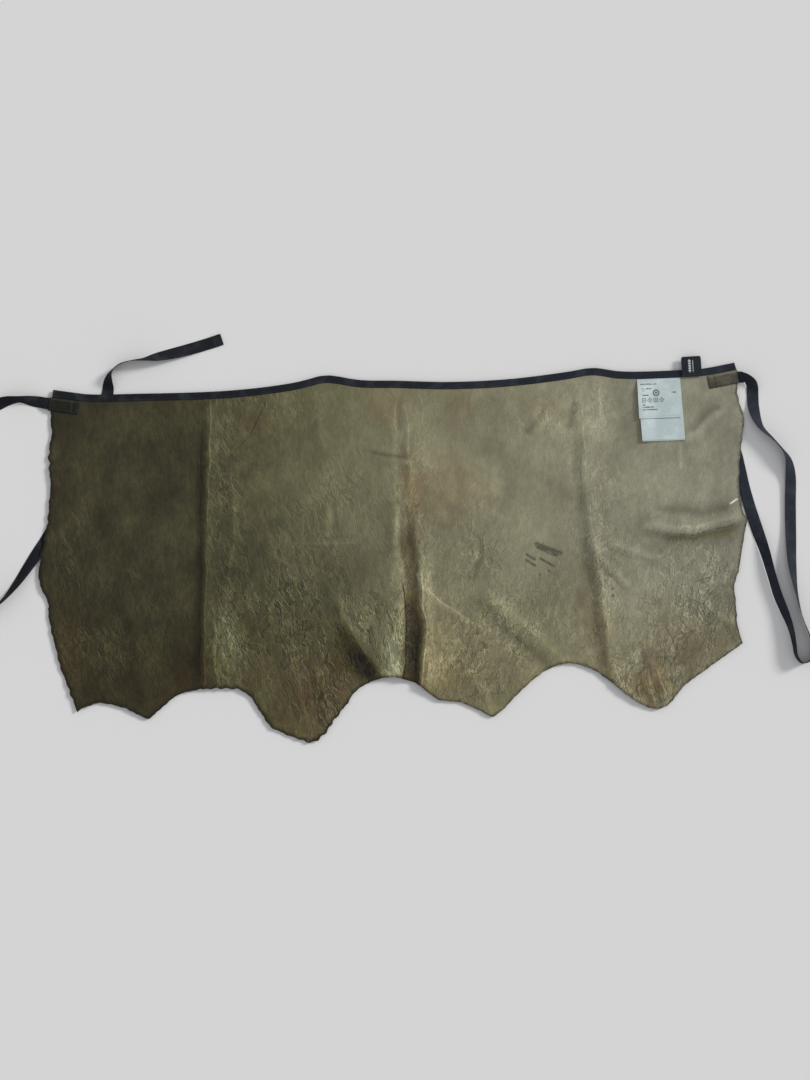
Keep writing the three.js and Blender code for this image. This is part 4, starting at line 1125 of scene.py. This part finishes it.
def addTab(side, inward, material):
    # a rounded leaf of leather with a pressed seam line, raised where it covers the tape, and a box of stitches
    look = tabLook
    tab = middleOf(side + "_tab")
    angle = waistSlope(tab.x)
    x, y = roundedPlan(look["halfX"], look["halfY"], look["radius"], 78, 36)
    toEdge = np.minimum(look["halfX"] - np.abs(x), look["halfY"] - np.abs(y))
    groove = 0.16 * np.exp(-((toEdge - look["seam"]) / 0.7) ** 2)
    rounded = 0.32 * step(1.0, 0, toEdge)
    base = (waistLevel + thickness) / mm + 0.12
    raised = tapeLook["thickness"] + 0.25
    bottom = base + raised * overTapeEnd(x, y, inward)
    top = bottom + look["thickness"] - groove - rounded + 0.12 * grain(x / 9, y / 9, 71)
    px, py = placeAt(x, y, (tab.x, tab.y), angle)
    upper = np.stack([px, py, top * mm], axis=-1)
    lower = np.stack([px, py, (bottom + 0.1 * rounded) * mm], axis=-1)
    uv = np.stack([x / look["halfX"], y / look["halfY"]], axis=-1)
    piece = shell(side + "TabLeather", upper, lower, material, uv)
    attach(piece, "apron", side + "_tab")
    # a box of stitches inside the edges
    hx, hy = look["halfX"] - look["seam"], look["halfY"] - look["seam"]
    corners = np.array([(-hx, -hy), (hx, -hy), (hx, hy), (-hx, hy), (-hx, -hy)])
    perimeter = lineLength(corners)
    count = int(perimeter[-1] / look["pitch"])
    at = (np.arange(count) + 0.5) * perimeter[-1] / count
    sx, sy = (np.interp(at, perimeter, corners[:, i]) for i in range(2))
    sideways = np.abs(np.abs(sy) - hy) < 0.01
    qx, qy = placeAt(sx, sy, (tab.x, tab.y), angle)
    height = base + raised * overTapeEnd(sx, sy, inward) + look["thickness"] + 0.02
    way = np.where(sideways[:, None], (cos(angle), sin(angle), 0), (-sin(angle), cos(angle), 0))
    up = np.zeros((count, 3)) + (0, 0, 1)
    row = stitches(side + "TabStitches", np.stack([qx, qy, height * mm], axis=1), way, up, look["stitch"] * mm,
                   look["thread"] * mm, darkThread)
    attach(row, "apron", side + "_tab_thread")


addTab("left", 1, tabMaterial("leftTabLeather", tone(17, 17, 12), tone(30, 29, 22), tone(44, 43, 33)))
addTab("right", -1, tabMaterial("rightTabLeather", tone(68, 65, 55), tone(92, 88, 76), tone(128, 124, 102)))
print("the tabs are sewn on")


careLook = {"halfWidth": 28, "front": 50, "back": 81, "thickness": 0.28, "radius": 0.8, "stagger": 1.2}


def satinMaterial(name, printed):
    # white satin tape: fine crosswise floats, faint creases and soiling; the print is plain bars and shapes
    material, paint = startMaterial(name)
    u, v = weaveOf(paint)  # millimetres from the middle, and below the sewn edge
    where = objectPlace(paint)
    floats = noise(paint, where, 500, 2, 0.5, (0.6, 4.0, 1))
    cloud = noise(paint, where, 45, 3, 0.55)
    base = mixColour(paint, smooth(cloud, 0.35, 0.7), tone(171, 184, 185), tone(190, 202, 201))
    base = mixColour(paint, 0.3 * smooth(floats, 0.42, 0.62), base, tone(146, 158, 161))
    if printed:
        base = mixColour(paint, 0.85 * printMask(paint, u, v), base, tone(58, 62, 66))
    hem = smooth(abs(v - careLook["front"] + 2.4), 0.35, 0.1) if printed else smooth(v, 78.6, 79.2)
    base = mixColour(paint, 0.35 * hem, base, tone(100, 108, 109))
    return endMaterial(material, paint, base, 0.42 + 0.1 * floats, floats + 0.8 * cloud, 0.25, 0.12 * mm,
                       {"Specular IOR Level": 0.5, "Sheen Weight": 0.1})


def window(wire, low, high):
    # 1 between low and high
    return wire.math("GREATER_THAN", wire, low) * wire.math("LESS_THAN", wire, high)


def printMask(paint, u, v):
    # rows of short dashes, a ring with a dot, and a row of four small open shapes, squares and lozenges in turn
    rows = [(5.6, 25, 4), (11.6, 18, 5), (14.6, 9, 5), (20, 14, 5), (32.5, 9, 5), (35.5, 21, 5), (38.8, 25, 5),
            (17.2, 51, 44)]
    dash = {0: paint.math("FLOOR", u / 0.8), 1: paint.math("FLOOR", v / 1.5)}
    place = paint.add("ShaderNodeCombineXYZ", {}, dash)
    inked = paint.math("GREATER_THAN", paint.add("ShaderNodeTexWhiteNoise", {"noise_dimensions": "2D"},
                                                 {"Vector": place}), 0.2)
    lines, side = 0.0, careLook["halfWidth"]
    for height, end, start in rows:
        lines = lines + window(v, height - 0.9, height + 0.9) * window(u, start - side, end - side)
    far = ((u + 4.1) ** 2 + (v - 17.2) ** 2) ** 0.5
    ring = window(far, 2.6, 4.4) + paint.math("LESS_THAN", far, 1.5)
    cell = (u + 24.3) / 7.75
    square = paint.math("LESS_THAN", paint.math("FRACT", cell / 2), 0.5)
    across, down = abs(paint.math("FRACT", cell) - 0.5) * 7.75, abs(v - 26.5)
    box = square * paint.math("MAXIMUM", across, down) + (1 - square) * (across + down) * 0.78
    shapes = (window(box, 1.9, 2.8) + window(box, -1.0, 0.9)) * window(u, -24.3, 6.7)
    return paint.math("MINIMUM", lines * inked + ring + shapes, 1.0)


def addLeaf(name, node, body, height, drop, skew, lifted, material, gap):
    # a leaf hangs from its sewn edge and follows the hide's face, with its free edge a little raised
    look = careLook
    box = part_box(node)
    angle = waistSlope((box[0].x + box[1].x) / 2)
    sewnX = careSewn[0] + drop * mm * sin(angle)
    sewnY = careSewn[1] - drop * mm * cos(angle)
    x, y = roundedPlan(look["halfWidth"], height / 2, look["radius"], 60, 88)
    y = y - height / 2
    px, py = placeAt(x + skew * -y, y, (sewnX, sewnY), angle)
    free = np.clip(-y / height, 0, 1)
    loose = step(0, 0.3, free)
    lift = (lifted * free**3 + 0.28 * grain(x / 17, y / 21, 81) * loose
            + 2.4 * step(0.2, 1, -x / look["halfWidth"]) * loose)
    base = onHide(px, py) + (gap + np.clip(lift, 0, None)) * mm
    hinge = onHide(np.array([sewnX]), np.array([sewnY]))[0] + gap * mm
    hung = step(0, 0.1, free)
    base = base * hung + hinge * (1 - hung)
    upper = np.stack([px, py, base + look["thickness"] * mm], axis=-1)
    lower = np.stack([px, py, base], axis=-1)
    piece = shell(name, upper, lower, material, np.stack([x, -y], axis=-1), underUv=-200)
    attach(piece, body, node)
    return piece


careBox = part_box("care_label_back_leaf")
careAngle = waistSlope((careBox[0].x + careBox[1].x) / 2)
careSewn = (careBox[0].x + careLook["halfWidth"] * cos(careAngle) * mm,
            careBox[1].y - careLook["halfWidth"] * sin(careAngle) * mm)
addLeaf("careLabelBack", "care_label_back_leaf", "care_back", careLook["back"], 0, 0.045, 0.5,
        satinMaterial("plainSatin", False), 0.32)
addLeaf("careLabelFront", "care_label_front_leaf", "care_front", careLook["front"], careLook["stagger"], 0.01, 0.9,
        satinMaterial("printedSatin", True), 0.95)
print("the care label is sewn in")


loopLook = {"halfWidth": 12.75, "height": 26.4, "layer": 0.35, "gap": 0.4, "radius": 3.2, "seam": 1.8,
            "seamHalf": 10.6, "count": 8, "stitch": 2.1, "thread": 0.24}


def loopMaterial():
    # black damask tape with a white woven column of lozenges and bars
    material, paint = startMaterial("wovenLoop")
    u, v = weaveOf(paint)  # millimetres from the middle, and from the foot
    where = objectPlace(paint)
    weft = paint.math("SINE", v * (2 * np.pi / 0.42))
    warp = paint.math("SINE", u * (2 * np.pi / 0.42))
    lint = noise(paint, where, 900, 2, 0.6)
    base = mixColour(paint, smooth(weft * warp + lint, -0.2, 1.4), tone(13, 16, 21), tone(36, 43, 52))
    cell = abs(paint.math("FRACT", v / 3.1) - 0.5) * 3.1
    lozenge = window(abs(u + 2.4) + cell * 1.5, 0.7, 2.2) * window(v, 5.5, 22.5)
    bar = window(abs(u - 1.9), -1, 0.34) * window(v, 5.5, 21.0) * paint.math("GREATER_THAN", lint, 0.42)
    base = mixColour(paint, 0.82 * paint.math("MINIMUM", lozenge + bar, 1.0), base, tone(214, 220, 224))
    height = weft * 0.5 + warp * 0.5 + lint
    return endMaterial(material, paint, base, 0.72, height, 0.35, 0.15 * mm, {"Specular IOR Level": 0.2})


def addLoopLabel():
    # a strip of tape that goes up, over a round fold and down again; its top corners are rounded in plan
    look = loopLook
    low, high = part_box("loop_label")
    angle = waistSlope((low.x + high.x) / 2)
    foot = (low.x + look["height"] * sin(angle) * mm + look["halfWidth"] * cos(angle) * mm,
            low.y + look["halfWidth"] * sin(angle) * mm)
    outer = look["layer"] + look["gap"] / 2
    turn = np.linspace(-np.pi / 2, np.pi / 2, 13)
    bend = look["height"] - outer - 0.2
    straight = np.linspace(0, bend, 22)[:-1]

    def layer(radius):
        swell = 0.5 * np.sin(np.pi * np.clip(straight / bend, 0, 1)) ** 2
        return np.concatenate([
            np.stack([straight, np.full_like(straight, -radius)], axis=1),
            np.stack([bend + radius * np.cos(turn), radius * np.sin(turn)], axis=1),
            np.stack([straight[::-1], radius + swell[::-1]], axis=1)])

    outside, inside = layer(outer), layer(look["gap"] / 2)
    profile = np.concatenate([outside, inside[::-1]])
    share = np.linspace(-1, 1, 34)
    over = np.clip(profile[:, 0] - (look["height"] - look["radius"]), 0, look["radius"])
    half = look["halfWidth"] - look["radius"] + np.sqrt(look["radius"]**2 - over**2)
    x = share[:, None] * half[None, :]
    y = np.repeat(profile[None, :, 0], len(share), axis=0)
    middle = (low.z + high.z) / 2
    bow = 0.35 * (1 - share[:, None]**2) * step(2, 12, y)
    z = middle + (profile[None, :, 1] + bow) * mm
    px, py = placeAt(x, y, foot, angle)
    points = np.stack([px, py, z], axis=-1)
    rows, columns = points.shape[:2]
    quads, rowAt, columnAt = gridQuads(rows, columns, wrap=True)
    n = len(outside)
    caps = [[i, i + 1, columns - 2 - i, columns - 1 - i] for i in range(n - 1)]
    height = np.concatenate([profile[:, 0], profile[:1, 0]])
    uv = np.stack([share[rowAt] * look["halfWidth"], height[columnAt]], axis=-1).reshape(-1, 2)
    faces = withEnds(quads, caps, rows, columns)
    piece = makePiece("loopLabel", points.reshape(-1, 3), faces, loopMaterial(),
                      np.concatenate([uv, np.zeros((len(caps) * 8, 2))]))
    attach(piece, "loop", "loop_label")
    count = look["count"]
    sx = np.linspace(-look["seamHalf"], look["seamHalf"], count)
    qx, qy = placeAt(sx, np.full(count, look["seam"]), foot, angle)
    centre = np.stack([qx, qy, np.full(count, high.z + 0.08 * mm)], axis=1)
    way = np.zeros((count, 3)) + (cos(angle), sin(angle), 0)
    up = np.zeros((count, 3)) + (0, 0, 1)
    row = stitches("loopLabelStitches", centre, way, up, look["stitch"] * mm, look["thread"] * mm, darkThread)
    attach(row, "loop", "loop_label_thread")


addLoopLabel()
print("the loop label stands over the waist")
